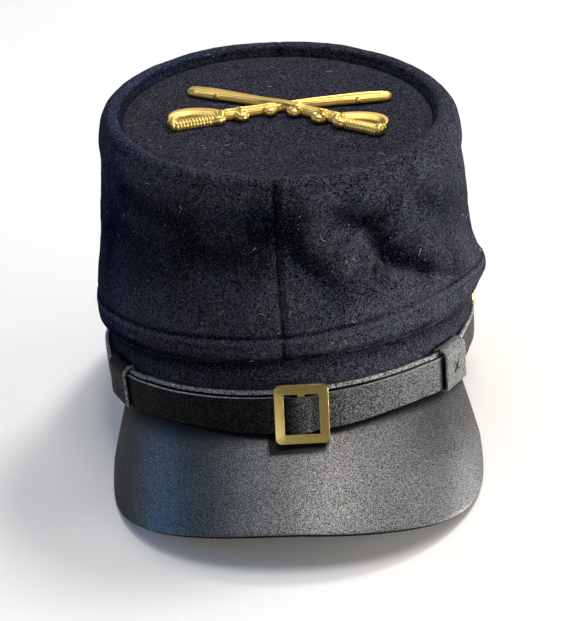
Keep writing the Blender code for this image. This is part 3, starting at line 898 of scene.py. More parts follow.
@dataclass
class Workshop:
    """What every sub-assembly is made with: the cap's frame and its finishes."""

    finishes: Wardrobe = field(default_factory=Wardrobe)
    rest: Matrix = field(default_factory=RestPose().matrix)
    oval: HeadOval = field(default_factory=HeadOval)
    top: TopOval = field(default_factory=TopOval)

    def piece(self, mesh: Mesh, finishes: Sequence[Material], slot: Slot,
              nodes: Sequence[str] = (), local: Matrix | None = None, sharp: float = 40.0
              ) -> bpy.types.Object:
        """Put a finished mesh on the cap.

        Args:
            mesh: The mesh, in the cap's frame or in the local one. It gives its name.
            finishes: Its materials, in the order of its faces' slots.
            slot: Not used.
            nodes: The CAD nodes that it replaces.
            local: Frame of the mesh within the cap's.
            sharp: Angle above which an edge stays sharp, in degrees.

        Returns:
            The piece.
        """
        mesh.transform(self.rest @ (local or Matrix.Identity(4)))
        made = put_in_scene(mesh.name, mesh)
        for finish in finishes:
            mesh.materials.append(finish)
        mesh.shade_smooth()
        mesh.set_sharp_from_angle(angle=math.radians(sharp))
        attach(made, "root")
        if nodes:
            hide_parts(*nodes)
        LOG.info("%s: %d points, %d faces", made.name, len(mesh.vertices), len(mesh.polygons))
        return made


def thicken(thing: bpy.types.Object, thickness: float, outward: bool = False,
            edge_slot: int = 0, inner_slot: int = 0) -> None:
    """Give a sheet its wall.

    Args:
        thing: The sheet.
        thickness: The wall's thickness.
        outward: True if the wall is added on the side that the faces look to.
        edge_slot: Offset of the material on the cut edges.
        inner_slot: Offset of the material on the added side.
    """
    wall = thing.modifiers.new("wall", "SOLIDIFY")
    wall.thickness = thickness
    wall.offset = 1.0 if outward else -1.0
    wall.use_even_offset = True
    wall.material_offset_rim = edge_slot
    wall.material_offset = inner_slot


def round_edges(thing: bpy.types.Object, width: float, segments: int = 2,
                angle: float = 50.0) -> None:
    """Round a piece's edges off.

    Args:
        thing: The piece.
        width: How far from the edge the rounding starts.
        segments: Number of faces across it.
        angle: Least angle of an edge that is rounded, in degrees.
    """
    step = thing.modifiers.new("edges", "BEVEL")
    step.width = width
    step.segments = segments
    step.limit_method = "ANGLE"
    step.angle_limit = math.radians(angle)
    step.harden_normals = False


# Crown


@dataclass(frozen=True)
class WallSpot:
    """Where a point lies on one half of the crown's wall. Its ways are in mm."""

    point: Vector
    turn: float
    up: float  # share of the way from the top of the hem to the rim
    height: float  # way above the top of the hem
    rise: float  # way above the hem's ridge
    past: float  # way past the rim's crest
    aside: float  # way to the nearer seam
    ends: float  # way to the nearer edge of the cloth


@dataclass
class Crown:
    """The two halves of the crown's wall and the recessed top."""

    shop: Workshop
    wall: float = 2.0 * MM
    hem_edge: float = 27.0 * MM
    hem_slant: float = 0.012
    hem_side_lift: float = 3.5 * MM
    hem_fade: float = 5.0
    wall_height: float = 65.0
    wall_rings: int = 7
    rim_fullness: float = 0.16
    seam_turns: tuple = (0.03, 0.15, 0.3, 0.5, 0.7, 0.9, 1.2, 1.5, 1.9, 2.4, 3.0, 3.9)
    even_turns: tuple[float, int] = (4.8, 190)  # first turn, steps
    row_spacing: float = 1.3 * MM
    top_rings: int = 30
    top_spokes: int = 160
    top_reach: float = 0.1 * MM
    hem_rings: tuple = (
        # rise, out
        (-0.6, 2.34), (0.1, 2.55), (0.9, 3.5), (2.2, 4.3), (4.6, 4.7), (8.6, 4.4),
        (10.6, 3.7),
    )
    rim_rings: tuple = (
        # out, height
        (10.8, -13.0), (10.9, -7.0), (9.8, -1.6), (8.1, 2.0), (5.8, 4.2), (3.6, 4.6),
        (1.7, 3.6), (0.5, 1.0), (0.4, -3.0),
    )
    folds: tuple = (
        # turn 1, up 1, turn 2, up 2, depth, half width across
        (-24.0, 0.72, 26.0, 0.66, -3.0, 0.16),
        (18.0, 0.74, 70.0, 0.34, -3.2, 0.12),
        (40.0, 0.22, 84.0, -0.07, 3.2, 0.09),
        (-70.0, 0.78, -22.0, 0.56, -2.0, 0.14),
        (-72.0, 0.4, -34.0, 0.34, -1.6, 0.14),
        (110.0, 0.55, 160.0, 0.45, -2.2, 0.16),
        (-160.0, 0.4, -110.0, 0.52, -2.2, 0.16),
    )
    fold_end_softness: float = 14.0
    creases: tuple = (
        # turn 1, up 1, turn 2, up 2, depth, half width across
        (17.0, 1.02, 25.0, 0.88, -1.5, 0.09), (25.0, 0.88, 31.5, 0.58, -2.1, 0.085),
        (31.5, 0.58, 40.0, 0.33, -2.2, 0.08), (40.0, 0.33, 50.0, 0.18, -1.5, 0.08),
        (14.0, 0.94, 27.0, 0.66, 0.9, 0.08), (27.0, 0.66, 33.0, 0.3, 1.2, 0.085),
        (2.0, 0.84, 15.0, 0.34, -1.4, 0.12), (37.0, 0.94, 54.0, 0.3, 1.3, 0.1),
        (40.0, 1.15, 57.0, 0.7, -1.2, 0.09), (-48.0, 0.92, -38.0, 0.66, -1.0, 0.1),
        (-30.0, 0.6, -8.0, 0.36, 0.9, 0.12),
    )
    crease_softness: float = 4.5
    crease_range: Pair = (0.0, 1.1)  # shares of the way up
    crease_fade: float = 1.0 / 6.0
    stretch: float = 0.033  # shares of the way up that are as long as one degree of turn
    edge_fade: float = 7.0  # mm
    seam_fade: float = 1.5  # mm
    seam_groove: Mark = Mark(0.0, 0.95, -0.50)
    seam_fullness: Mark = Mark(2.8, 1.7, 0.16)
    seam_relief_at_rim: Mark = Mark(0.0, 4.0, 0.75)
    ridge_marks: tuple = (Mark(0.0, 0.85, 0.75), Mark(1.9, 1.1, -0.38), Mark(-1.9, 1.1, -0.12))
    ridge_drop_range: Pair = (2.7, 1.1)  # mm at the wearer's right, mm at the left
    ridge_slimming: float = 0.75
    # Painted shade strokes on the cloth: darker in the creases, lighter on the swellings.
    painted_shades: tuple = (
        # turn 1, up 1, turn 2, up 2, painted shade, half width across
        (8.0, 1.0, 22.0, 1.02, -0.5, 0.12), (22.0, 1.02, 29.0, 0.86, -0.6, 0.09),
        (29.0, 0.86, 35.0, 0.57, -0.75, 0.09), (35.0, 0.57, 44.0, 0.34, -0.85, 0.085),
        (44.0, 0.34, 53.0, 0.18, -0.75, 0.07), (16.0, 0.9, 27.0, 0.68, 0.25, 0.08),
        (27.0, 0.68, 34.0, 0.34, 0.35, 0.085), (3.0, 0.92, 15.5, 0.33, -1.2, 0.16),
        (38.0, 0.88, 44.0, 0.84, -0.3, 0.1), (42.0, 1.15, 57.0, 0.74, -0.5, 0.12),
        (60.0, 0.9, 84.0, 0.3, -0.5, 0.26), (22.0, 0.12, 44.0, 0.02, 0.7, 0.12),
        (28.0, 0.36, 33.0, 0.22, 0.25, 0.11),
        (14.0, -0.12, 60.0, -0.16, 0.3, 0.07),
        (-62.0, 0.62, -8.0, 0.76, -0.78, 0.22), (-52.0, 0.98, -30.0, 0.92, -0.5, 0.12),
        (-82.0, 0.9, -76.0, 0.1, -0.32, 0.42),
        (-58.0, 0.3, -34.0, 0.46, -0.35, 0.12), (-58.0, 1.02, -8.0, 1.08, -0.55, 0.13),
        (-46.0, 0.1, -8.0, 0.1, 0.1, 0.13), (-30.0, 0.62, -8.0, 0.32, 0.22, 0.11),
    )
    # Painted highlights and shade on the ridge and crest, painted shadow at the hem's foot and
    # seams.
    painted_ridge_lines: tuple = (Mark(0.1, 0.75, 1.70), Mark(-2.0, 1.0, -0.30), Mark(1.9, 0.9, -1.20))
    painted_rim_lines: tuple = (Mark(0.0, 1.3, 1.10), Mark(3.8, 1.2, -0.90), Mark(-5.0, 2.5, -0.25))
    painted_foot_shadow: Mark = Mark(-11.0, 2.2, -1.6)
    painted_seam_shade: Mark = Mark(0.0, 0.8, -0.85)
    painted_seam_edge_shade: Mark = Mark(2.1, 0.55, -0.5)
    # Painted shade on the wearer's right side and on the rim's inner side.
    painted_right_shade: float = -0.36
    painted_inside_shade: float = -0.7
    halves: dict = field(default_factory=dict)

    def fold_depth(self, turn: float, up: float) -> float:
        """Add up the soft folds.

        Args:
            turn: Turn at which they are wanted.
            up: Share of the way up the wall.

        Returns:
            How far they move the cloth out.
        """
        total = 0.0
        for turn_1, up_1, turn_2, up_2, depth, width in self.folds:
            share = min(1.0, max(0.0, (turn - turn_1) / (turn_2 - turn_1)))
            past = (turn - (turn_1 + (turn_2 - turn_1) * share)) / self.fold_end_softness
            aside = (up - (up_1 + (up_2 - up_1) * share)) / width
            total += depth * MM * math.exp(-past * past - aside * aside)
        return total

    def strokes(self, table: tuple, spot: WallSpot) -> float:
        """Add up a table of soft strokes, which are the creases or the painted shades.

        Args:
            table: The strokes.
            spot: Where they are wanted.

        Returns:
            Their sum.
        """
        total, stretch = 0.0, self.stretch
        for turn_1, up_1, turn_2, up_2, size, width in table:
            way_x, way_y = (turn_2 - turn_1) * stretch, up_2 - up_1
            x, y = (spot.turn - turn_1) * stretch, spot.up - up_1
            long = max(1e-6, way_x * way_x + way_y * way_y)
            share = min(1.0, max(0.0, (x * way_x + y * way_y) / long))
            aside = math.hypot(x - way_x * share, y - way_y * share)
            past = 0.0 if 0.0 < share < 1.0 else self.crease_softness * stretch
            total += size * math.exp(-(aside / (width + past)) ** 2)
        return total

    def column(self, turn: float) -> list[Vector]:
        """Draw the wall's outer face at one turn.

        Args:
            turn: The turn.

        Returns:
            Its points from the hem to the rim's lip.
        """
        oval, points = self.shop.oval, []
        top_rise = self.hem_rings[-1][0]
        lift = self.hem_side_lift * math.sin(math.radians(turn)) ** 2
        for rise, out in self.hem_rings:
            height = self.hem_edge + rise * MM + lift * ease(rise / top_rise)
            fold = self.fold_depth(turn, (rise - top_rise) / self.wall_height)
            reach = out * MM + fold * ease(rise / self.hem_fade)
            points.append(oval.point(turn, reach, height, self.hem_slant))
        top, place = self.shop.top, self.shop.top.matrix()
        angle = math.radians(turn)
        rim = []
        for out, height in self.rim_rings:
            reach = out * MM * (1.0 + self.rim_fullness * max(0.0, math.sin(angle)))
            rim.append(place @ Vector(((top.half_width + reach) * math.sin(angle),
                                       -(top.half_length + reach) * math.cos(angle),
                                       height * MM)))
        outward = oval.outward(turn)
        foot = points[-1] - outward * self.fold_depth(turn, 0.0)
        for i in range(1, self.wall_rings):
            up = i / self.wall_rings
            points.append(foot.lerp(rim[0], up) + outward * self.fold_depth(turn, up))
        return points + rim

    def turns(self) -> list[float]:
        """Space the left half's columns, which are drawn together at both seams.

        Returns:
            Their turns.
        """
        start, count = self.even_turns
        near = list(self.seam_turns)
        return near + evenly(start, 180.0 - start, count) + [180.0 - turn for turn in near[::-1]]

    def grid(self, turns: Sequence[float]) -> tuple[Grid, tuple[int, ...]]:
        """Draw the outer face of one half.

        Args:
            turns: The turns of its columns.

        Returns:
            Its rows of points, and the numbers of the rows on the top of the hem, below the
            rim and on the rim's crest.
        """
        controls = [self.column(turn) for turn in turns]
        middle = controls[len(controls) // 2]
        hem = len(self.hem_rings) - 1
        shares, marks = [], []
        for i, (low, high) in enumerate(zip(middle, middle[1:])):
            if i in (hem, hem + self.wall_rings, len(middle) - 4):
                marks.append(len(shares))
            steps = max(2, math.ceil((high - low).length / self.row_spacing))
            shares += [(i, j / steps) for j in range(steps)]
        columns = []
        for points in controls:
            knots = [points[0] * 2.0 - points[1], *points, points[-1] * 2.0 - points[-2]]
            columns.append([curve_piece(knots[i:i + 4], share) for i, share in shares]
                           + [points[-1].copy()])
        return [list(row) for row in zip(*columns)], tuple(marks)

    def lay_out(self, rows: Grid, turns: Sequence[float], marks: tuple[int, ...]
                ) -> list[list[WallSpot]]:
        """Work out where each point of a half lies on it.

        Args:
            rows: The outer face.
            turns: The turns of its columns.
            marks: Numbers of the rows on the top of the hem, below the rim and on its crest.

        Returns:
            The spots, in rows like the points.
        """
        hem, under_rim, crest = marks
        columns = []
        for column in zip(*rows):
            ways = way_along(column)
            columns.append([(way - ways[hem]) / MM for way in ways])
        spots = []
        for i, row in enumerate(rows):
            across = way_along(row)
            spots.append([WallSpot(
                point=point, turn=turn, up=ways[i] / ways[under_rim], height=ways[i],
                rise=ways[i] + self.ridge_drop(turn), past=ways[i] - ways[crest],
                aside=min(reach, across[-1] - reach) / MM,
                ends=min(ways[i] - ways[0], ways[-1] - ways[i]))
                for point, turn, ways, reach in zip(row, turns, columns, across)])
        return spots

    def detail(self, rows: Grid, turns: Sequence[float], marks: tuple[int, ...]
               ) -> tuple[Grid, list[float]]:
        """Work the seams, creases, the hem's ridge and the cloth's unevenness into a half.

        Args:
            rows: The outer face, which is changed.
            turns: The turns of its columns.
            marks: Numbers of the rows on the top of the hem, below the rim and on its crest.

        Returns:
            The inner face, and the painted shade at each point of the outer one.
        """
        moves, inner, painted_shades = [], [], []
        normals = grid_normals(rows)
        for line, outward in zip(self.lay_out(rows, turns, marks), normals):
            soft = [self.soft_move(spot) for spot in line]
            moves.append([move + self.crisp_move(spot) for move, spot in zip(soft, line)])
            inner.append([spot.point + way * (move * MM - self.wall)
                          for spot, way, move in zip(line, outward, soft)])
            painted_shades += [self.painted_shade(spot) for spot in line]
        for row, outward, line in zip(rows, normals, moves):
            for point, way, move in zip(row, outward, line):
                point += way * move * MM
        return inner, painted_shades

    def soft_move(self, spot: WallSpot) -> float:
        """Find how far unevenness and creases move both faces of the cloth out.

        Args:
            spot: Where on the wall.

        Returns:
            The move in mm.
        """
        start, end = self.crease_range
        creases = (grow(spot.up, start, start + self.crease_fade)
                   * self.strokes(self.creases, spot)
                   * (1.0 - grow(spot.up, end, end + self.crease_fade)))
        return (self.unevenness(spot) + creases) * grow(spot.ends, 0.0, self.edge_fade)

    def crisp_move(self, spot: WallSpot) -> float:
        """Find how far the hem's ridge and the seams move the outer face alone out.

        Args:
            spot: Where on the wall.

        Returns:
            The move in mm.
        """
        slim = 1.0 - self.ridge_slimming * grow(abs(spot.turn), 55.0, 80.0)
        ridge = self.hem_ridge(spot) * slim * grow(spot.ends, 0.0, self.edge_fade)
        depth = 1.0 - self.seam_relief_at_rim.at(spot.past)
        return ridge + self.seam(spot) * grow(spot.ends, 0.0, self.seam_fade) * depth

    def painted_shade(self, spot: WallSpot) -> float:
        """Find the painted shade and the painted highlights of the cloth at a spot.

        Args:
            spot: Where on the wall.

        Returns:
            The painted shade: 0 where none is painted, below 0 darker, above 0 lighter.
        """
        point, turn = spot.point, spot.turn
        # Painted shade on the wearer's right, painted shadow at the hem's foot and beside the
        # seams.
        right = self.painted_right_shade * grow(turn, 0.0, -12.0) * grow(spot.up, 1.5, 0.5)
        foot = (self.painted_foot_shadow.at(spot.height) * (1.0 + waver(point, 85.0, 0.9))
                * (1.0 - 0.5 * grow(turn, 0.0, 15.0)))
        beside = self.painted_seam_edge_shade.at(spot.aside) * grow(turn, 0.0, 1.0) * grow(turn, 7.0, 6.0)
        seam = (self.painted_seam_shade.at(spot.aside) + beside) * (1.0 + waver(point, 260.0, 0.8))
        return (self.strokes(self.painted_shades, spot) + right + foot + seam
                + sum(mark.at(spot.rise) for mark in self.painted_ridge_lines)
                + sum(mark.at(spot.past) for mark in self.painted_rim_lines)
                + self.painted_inside_shade * grow(spot.past, 5.0, 9.0))

    @staticmethod
    def painted_blue_tint(turn: float) -> float:
        """Painted blue tint standing in for blue light, which grows towards the wearer's right.
        """
        return 0.85 * grow(turn, -26.0, -76.0) * grow(turn, -178.0, -138.0)

    def ridge_drop(self, turn: float) -> float:
        """How far the hem's ridge runs below the top of the hem in mm."""
        most, least = self.ridge_drop_range
        return most - (most - least) * grow(turn, 5.0, 40.0) * grow(turn, 175.0, 115.0)

    @staticmethod
    def unevenness(spot: WallSpot) -> float:
        """Soft unevenness of the cloth in mm, with short waves beside the hem's ridge."""
        point = spot.point
        return (waver(point, 34.0, 0.55) + waver(point, 75.0, 0.30) + waver(point, 230.0, 0.13)
                + waver(point, 150.0, 0.2) * hump(spot.height - 2.0, 6.0))

    def seam(self, spot: WallSpot) -> float:
        """Groove of a sewn seam in mm, with the cloth a little full beside it."""
        groove = self.seam_groove.at(spot.aside) * (1.0 + waver(spot.point, 190.0, 0.5))
        return groove + self.seam_fullness.at(spot.aside) * (1.0 + waver(spot.point, 120.0, 0.6))

    def hem_ridge(self, spot: WallSpot) -> float:
        """Raised upper edge of the hem in mm, between two shallow grooves."""
        wander = spot.rise + waver(spot.point, 60.0, 0.5)
        return sum(mark.at(wander) for mark in self.ridge_marks)

    def build_halves(self) -> None:
        """Build both halves of the wall."""
        for hand, side in ((-1, "right"), (1, "left")):
            turns = sorted(hand * turn for turn in self.turns())
            rows, marks = self.grid(turns)
            inner, painted_shades = self.detail(rows, turns, marks)
            self.halves[hand] = rows
            mesh = shell_mesh(f"crown_{side}_cloth", rows, inner)
            # Painted shade on the outer face, none on the inner one.
            note(mesh, "nap", painted_shades + [0.0] * len(painted_shades))
            # Painted blue tint on the wearer's right side.
            note(mesh, "painted_blue_tint", [self.painted_blue_tint(turn) for turn in turns] * (2 * len(rows)))
            self.shop.piece(mesh, [self.shop.finishes.wool], Slot.WOOL, [f"crown_{side}"],
                            sharp=75.0)

    def build_top(self) -> None:
        """Build the recessed top, pressed down along its edge."""
        top, rows = self.shop.top, []
        for i in range(self.top_rings, 0, -1):
            share = math.sin(math.radians(90.0) * i / self.top_rings)
            row = []
            for angle in circle(self.top_spokes):
                x = (top.half_width + self.top_reach) * share * math.sin(angle)
                y = -(top.half_length + self.top_reach) * share * math.cos(angle)
                height = self.top_height(x, y, (1.0 - share) * top.half_width)
                row.append(Vector((x, y, height)))
            rows.append(row)
        mesh = disc_mesh("crown_top_cloth", rows)
        disc = self.shop.piece(mesh, [self.shop.finishes.wool], Slot.WOOL, ["crown_top"],
                               top.matrix(), sharp=75.0)
        thicken(disc, self.wall)

    @staticmethod
    def top_height(x: float, y: float, inside: float) -> float:
        """Find the height of the top's upper face.

        Args:
            x: Place across the top.
            y: Place along the top.
            inside: Distance from the top's edge.

        Returns:
            The height above the plane of the top.
        """
        place = Vector((x, y, 0.02))
        waves = waver(place, 30.0, 0.30) + waver(place, 95.0, 0.10)
        edge = 0.5 * (1.0 - grow(inside, 0.0, 4.0 * MM))
        return (-0.35 + waves * grow(inside, 0.0, 9.0 * MM) - edge) * MM

    def build(self) -> None:
        """Build the halves and the top."""
        self.build_halves()
        self.build_top()


# Band


@dataclass
class Band:
    """The strip of cloth round the head, under the crown's hem."""

    shop: Workshop
    crown: Crown
    wall: float = 1.9 * MM
    top: float = 33.0 * MM
    inset: float = 0.1 * MM
    fullness: float = 0.25
    fullest: float = 0.4
    columns: int = 300
    rows: int = 28
    # Painted shadow under the hem and painted shade on the wearer's right side.
    painted_hem_shadow: Mark = Mark(27.5, 5.5, -1.3)
    painted_right_shade: float = -0.5

    def painted_shade(self, turn: float, height: float) -> float:
        """Painted shade: the hem's painted shadow and a darker wearer's right side."""
        right = grow(turn, 180.0, 192.0) * grow(turn, 360.0, 348.0)
        return self.painted_hem_shadow.at(height / MM) + self.painted_right_shade * right

    def build(self) -> None:
        """Build the strip."""
        oval = self.shop.oval
        turns = evenly(0.0, 360.0, self.columns)[:-1]
        rows, painted_shades = [], []
        for share in evenly(0.0, 1.0, self.rows):
            height = self.top * share
            painted_shades += [self.painted_shade(turn, height) for turn in turns]
            row = []
            for turn in turns:
                full = (self.fullness * (1.0 - (2.0 * (share - self.fullest)) ** 2)
                        + waver(oval.point(turn, 0.0, height), 55.0, 0.2))
                out = full * MM * ease(6.0 * share) - self.inset
                row.append(oval.point(turn, out, height, self.crown.hem_slant * share))
            rows.append(row)
        mesh = sheet_mesh("band_cloth", rows, round_columns=True)
        # Painted shade of the band's cloth.
        note(mesh, "nap", painted_shades)
        # Painted blue tint on the wearer's right side.
        note(mesh, "painted_blue_tint", [self.crown.painted_blue_tint(turn if turn <= 180.0 else turn - 360.0)
                             for turn in turns] * len(rows))
        band = self.shop.piece(mesh, [self.shop.finishes.wool], Slot.WOOL, ["band"],
                               sharp=75.0)
        thicken(band, self.wall)


# Visor


@dataclass
class Visor:
    """The leather visor, bent one way only, with a flat margin under the band."""

    shop: Workshop
    wall: float = 1.8 * MM
    slope: float = math.radians(36.5)
    level: float = -0.5 * MM
    end_turn: float = 60.0
    half_width: float = 79.0 * MM
    front_y: float = -133.1 * MM
    front_skew: float = -0.033
    corner_y: float = -64.5 * MM
    corner_power: float = 2.25
    stations: int = 200
    rows_out: int = 34
    margin: float = 2.0 * MM
    # Painted shadow of the strap and of the buckle on the leather, and how deep it is.
    strap_shadow: Triple = (4.4, 4.0, 7.5)  # its end, its fade and the fade's growth, in mm
    buckle_x: float = 2.0
    buckle_half: Pair = (12.3, 10.9)  # mm aside, from painted light to the buckle's painted shadow
    buckle_reach: Pair = (14.0, 15.8)  # mm from the band, from the buckle's painted shadow to painted light
    painted_shadow: float = 0.95

    def drop(self, x: float, y: float) -> float:
        """Find the height of the upper face, which falls at one slope along -Y.

        Args:
            x: Place across the visor.
            y: Place along it.

        Returns:
            The height.
        """
        oval = self.shop.oval
        band_y = -oval.half_length * math.sqrt(1.0 - (x / oval.half_width) ** 2)
        return self.level - max(0.0, band_y - y) * math.tan(self.slope)

    def edge(self, share: float) -> Pair:
        """Follow the outer edge from its right end round the front to its left end.

        Args:
            share: Share of the way, 0 to 1.

        Returns:
            The edge's X and Y.
        """
        angle = math.pi * share
        power = 2.0 / self.corner_power
        x = self.half_width * math.copysign(abs(math.cos(angle)) ** power, -math.cos(angle))
        forward = abs(math.sin(angle)) ** power
        front = self.front_y + self.front_skew * x
        return x, self.corner_y + (front - self.corner_y) * forward

    def painted_light(self, reach: float, x: float) -> float:
        """Find the painted light: painted shadow by the strap, under the buckle and at the sides.

        Args:
            reach: Distance from the band in mm.
            x: Place across the visor in mm.

        Returns:
            The painted light, 0 to 1, low in painted shadow.
        """
        start, narrow, extra = self.strap_shadow
        beside = grow(reach, start, start + narrow + extra * grow(x, 10.0, -40.0))
        behind = (grow(abs(x - self.buckle_x), *self.buckle_half)
                  * (1.0 - grow(reach, *self.buckle_reach)))
        # Painted shade that darkens both ends of the visor.
        left_end = (0.50 * grow(x, 32.0, 62.0) * (1.0 - grow(reach, 12.0, 38.0))
                    - 0.42 * grow(x, 35.0, 60.0) * grow(reach, 26.0, 40.0))
        right_end = 0.43 * grow(x, -5.0, -65.0) + 0.36 * grow(x, -54.0, -76.0)
        sides = (1.0 - left_end) * (1.0 - right_end)
        return sides * (1.0 - self.painted_shadow + self.painted_shadow * beside) * (1.0 - self.painted_shadow * behind)

    def column(self, share: float) -> list[Vector]:
        """Draw the upper face from the band to the outer edge.

        Args:
            share: Share of the way from the visor's right end to its left end.

        Returns:
            The points, from the inner edge of the flat margin outwards.
        """
        turn = self.end_turn * (2.0 * share - 1.0)
        foot = self.shop.oval.point(turn, 0.0, self.level)
        edge_x, edge_y = self.edge(share)
        line = [self.shop.oval.point(turn, -self.margin, self.level), foot]
        for way in evenly(0.0, 1.0, self.rows_out)[1:]:
            x, y = foot.x + (edge_x - foot.x) * way, foot.y + (edge_y - foot.y) * way
            wave = waver(Vector((x, y, 0.3)), 42.0, 0.22 * MM) * ease(3.0 * way)
            line.append(Vector((x, y, self.drop(x, y) + wave)))
        return line

    def build(self) -> None:
        """Build the visor."""
        columns, painted_light = [], []
        for share in evenly(0.0, 1.0, self.stations):
            margin, foot, *rest = self.column(share)
            columns.append([*rest[::-1], foot, margin])
            painted_light.append([self.painted_light((point - foot).length / MM, point.x / MM)
                           for point in columns[-1]])
        mesh = sheet_mesh("visor_leather", [list(row) for row in zip(*columns)])
        # Painted light and painted shadow of the leather.
        note(mesh, "painted_light", [value for row in zip(*painted_light) for value in row])
        finishes = self.shop.finishes
        visor = self.shop.piece(mesh, [finishes.visor, finishes.strap], Slot.VISOR, ["visor"],
                                sharp=60.0)
        thicken(visor, self.wall, edge_slot=1)
        round_edges(visor, 0.45 * MM, 3, 60.0)


# Chin strap


@dataclass(frozen=True)
class Strap:
    """One leather strap that follows its own route round the band."""

    name: str
    node: str
    low: float  # height of its lower edge in front
    high: float  # height of its upper edge in front
    route: tuple
    # painted sheen along the strap, by turn
    painted_sheen: tuple
    raw_above: float = 1.0  # share of its width above which its face is raw
    pale_edge: bool = True


@dataclass(frozen=True)
class Keeper:
    """One leather loop round both straps."""

    name: str
    node: str
    near: float  # turn of its end towards the front
    far: float  # turn of its other end
    flare: float  # how far its near end stands off in mm
    # painted sheen on its face
    painted_sheen: float
    raw_end: bool  # True if its near end is raw


@dataclass
class ChinStrap:
    """Two overlapping straps, their two keepers and one keeper's cross stitch."""

    shop: Workshop
    wall: float = 1.5 * MM
    slant: float = 0.006
    button_turn: float = 99.0
    end_turn: float = 105.0
    station: float = 0.7  # degrees of turn
    strips: int = 24
    rise: Pair = (5.0 * MM, 3.0 * MM)  # at the wearer's right, at the left
    rise_turns: Pair = (42.0, 85.0)
    front: Strap = Strap(
        "front_strap", "strap_front", -1.8 * MM, 12.0 * MM, (
            # turn, out at top, out at bottom
            (-105.0, 0.3, 0.3), (-91.0, 0.3, 0.3), (-81.0, 1.9, 1.9), (-72.0, 2.2, 2.2),
            (-62.5, 3.4, 3.4), (-50.0, 3.4, 3.4), (-41.0, 2.7, 2.2), (-30.0, 2.8, 2.1),
            (-4.5, 2.7, 5.4), (-1.7, 2.7, 5.4), (1.7, 4.8, 7.7), (4.5, 4.8, 7.7),
            (7.8, 2.7, 5.4), (10.5, 2.7, 5.4), (30.0, 2.5, 2.1), (37.0, 2.5, 2.1),
            (45.0, 3.4, 3.4), (58.0, 3.4, 3.4)), (
            # turn, painted sheen, none in the shade beside the keeper
            (-10.0, 0.0), (-1.0, 0.03), (7.0, 0.34), (10.0, 0.24), (18.0, 0.36),
            (40.0, 0.57), (44.0, 0.55), (45.2, 0.0)))
    back: Strap = Strap(
        "back_strap", "strap_back", 1.6 * MM, 14.1 * MM, (
            # turn, out at top, out at bottom
            (-63.0, 1.6, 1.6), (-50.0, 1.6, 1.6), (-41.0, 0.3, 0.3), (37.0, 0.3, 0.3),
            (45.0, 1.6, 1.6), (57.5, 1.6, 1.6), (67.0, 0.3, 0.3), (105.0, 0.3, 0.3)), (
            # turn, painted sheen
            (0.0, 0.0), (40.0, 0.08), (80.0, 0.10)),
        raw_above=0.9, pale_edge=False)
    keepers: tuple = (
        Keeper("keeper_right_loop", "keeper_right", -51.0, -61.5, 0.35, 0.0, True),
        Keeper("keeper_left_loop", "keeper_left", 46.0, 56.5, 0.80, 1.0, False),
    )
    keeper_wall: float = 1.0 * MM
    keeper_columns: int = 14
    keeper_loop: tuple = (
        # out, height
        (1.3, 1.3), (1.8, -0.2), (3.0, -2.1), (5.0, -2.1), (5.2, -1.8), (5.2, 5.3),
        (5.2, 12.4), (4.8, 13.1), (3.3, 14.3), (1.5, 14.4), (1.3, 14.1), (1.3, 7.7),
    )
    stitch_turn: float = 51.3
    stitch_half: float = 1.25
    stitch_height: float = 5.6 * MM
    stitch_reach: float = 2.5 * MM
    stitch_arch: float = 0.22 * MM
    stitch_sunk: float = 0.02 * MM
    thread: float = 0.12 * MM
    thread_radius: float = 0.22 * MM

    def climb(self, turn: float) -> float:
        """How much the straps climb towards the button on their side."""
        right, left = self.rise
        return (left if turn > 0.0 else right) * grow(abs(turn), *self.rise_turns)

    def end_share(self, turn: float) -> float:
        """Share of the strap's width that is left where its end is rounded."""
        past = (abs(turn) - self.button_turn) / (self.end_turn - self.button_turn)
        return math.sqrt(1.0 - 0.8 * min(1.0, max(0.0, past)) ** 2)

    def build_strap(self, strap: Strap) -> None:
        """Build a strap with a slightly crowned face and cut edges.

        Args:
            strap: The strap.
        """
        middle, half = (strap.low + strap.high) / 2.0, (strap.high - strap.low) / 2.0
        first, last = strap.route[0][0], strap.route[-1][0]
        turns = evenly(first, last, round((last - first) / self.station))
        rows = []
        for share in evenly(-1.0, 1.0, self.strips):
            row = []
            for turn in turns:
                out_top, out_bottom = along(strap.route, turn)
                out = (out_top + out_bottom) / 2.0 + (out_top - out_bottom) / 2.0 * share
                crown = -0.10 * share ** 4
                soft = 0.07 * noise.noise(Vector((turn * 0.13, share, 2.0)))
                reach = half * self.end_share(turn)
                row.append(self.shop.oval.point(
                    turn, (out + crown + soft) * MM + self.wall,
                    middle + self.climb(turn) + reach * share, self.slant))
            rows.append(row)
        mesh = sheet_mesh(strap.name, rows)
        # Painted sheen along the strap, none in the shade beside the keeper.
        note(mesh, "painted_sheen", [along(strap.painted_sheen, turn)[0] for turn in turns] * len(rows))
        for i, face in enumerate(mesh.polygons):
            strip = i // (len(turns) - 1)
            if (strip + 1) / self.strips > strap.raw_above:
                face.material_index = 1
        finishes = self.shop.finishes
        edge = finishes.cut_edge if strap.pale_edge else finishes.raw_edge
        made = self.shop.piece(mesh, [finishes.strap, edge], Slot.STRAP, [strap.node],
                               sharp=50.0)
        thicken(made, self.wall - 0.1 * MM, edge_slot=1, inner_slot=1)
        round_edges(made, 0.28 * MM)

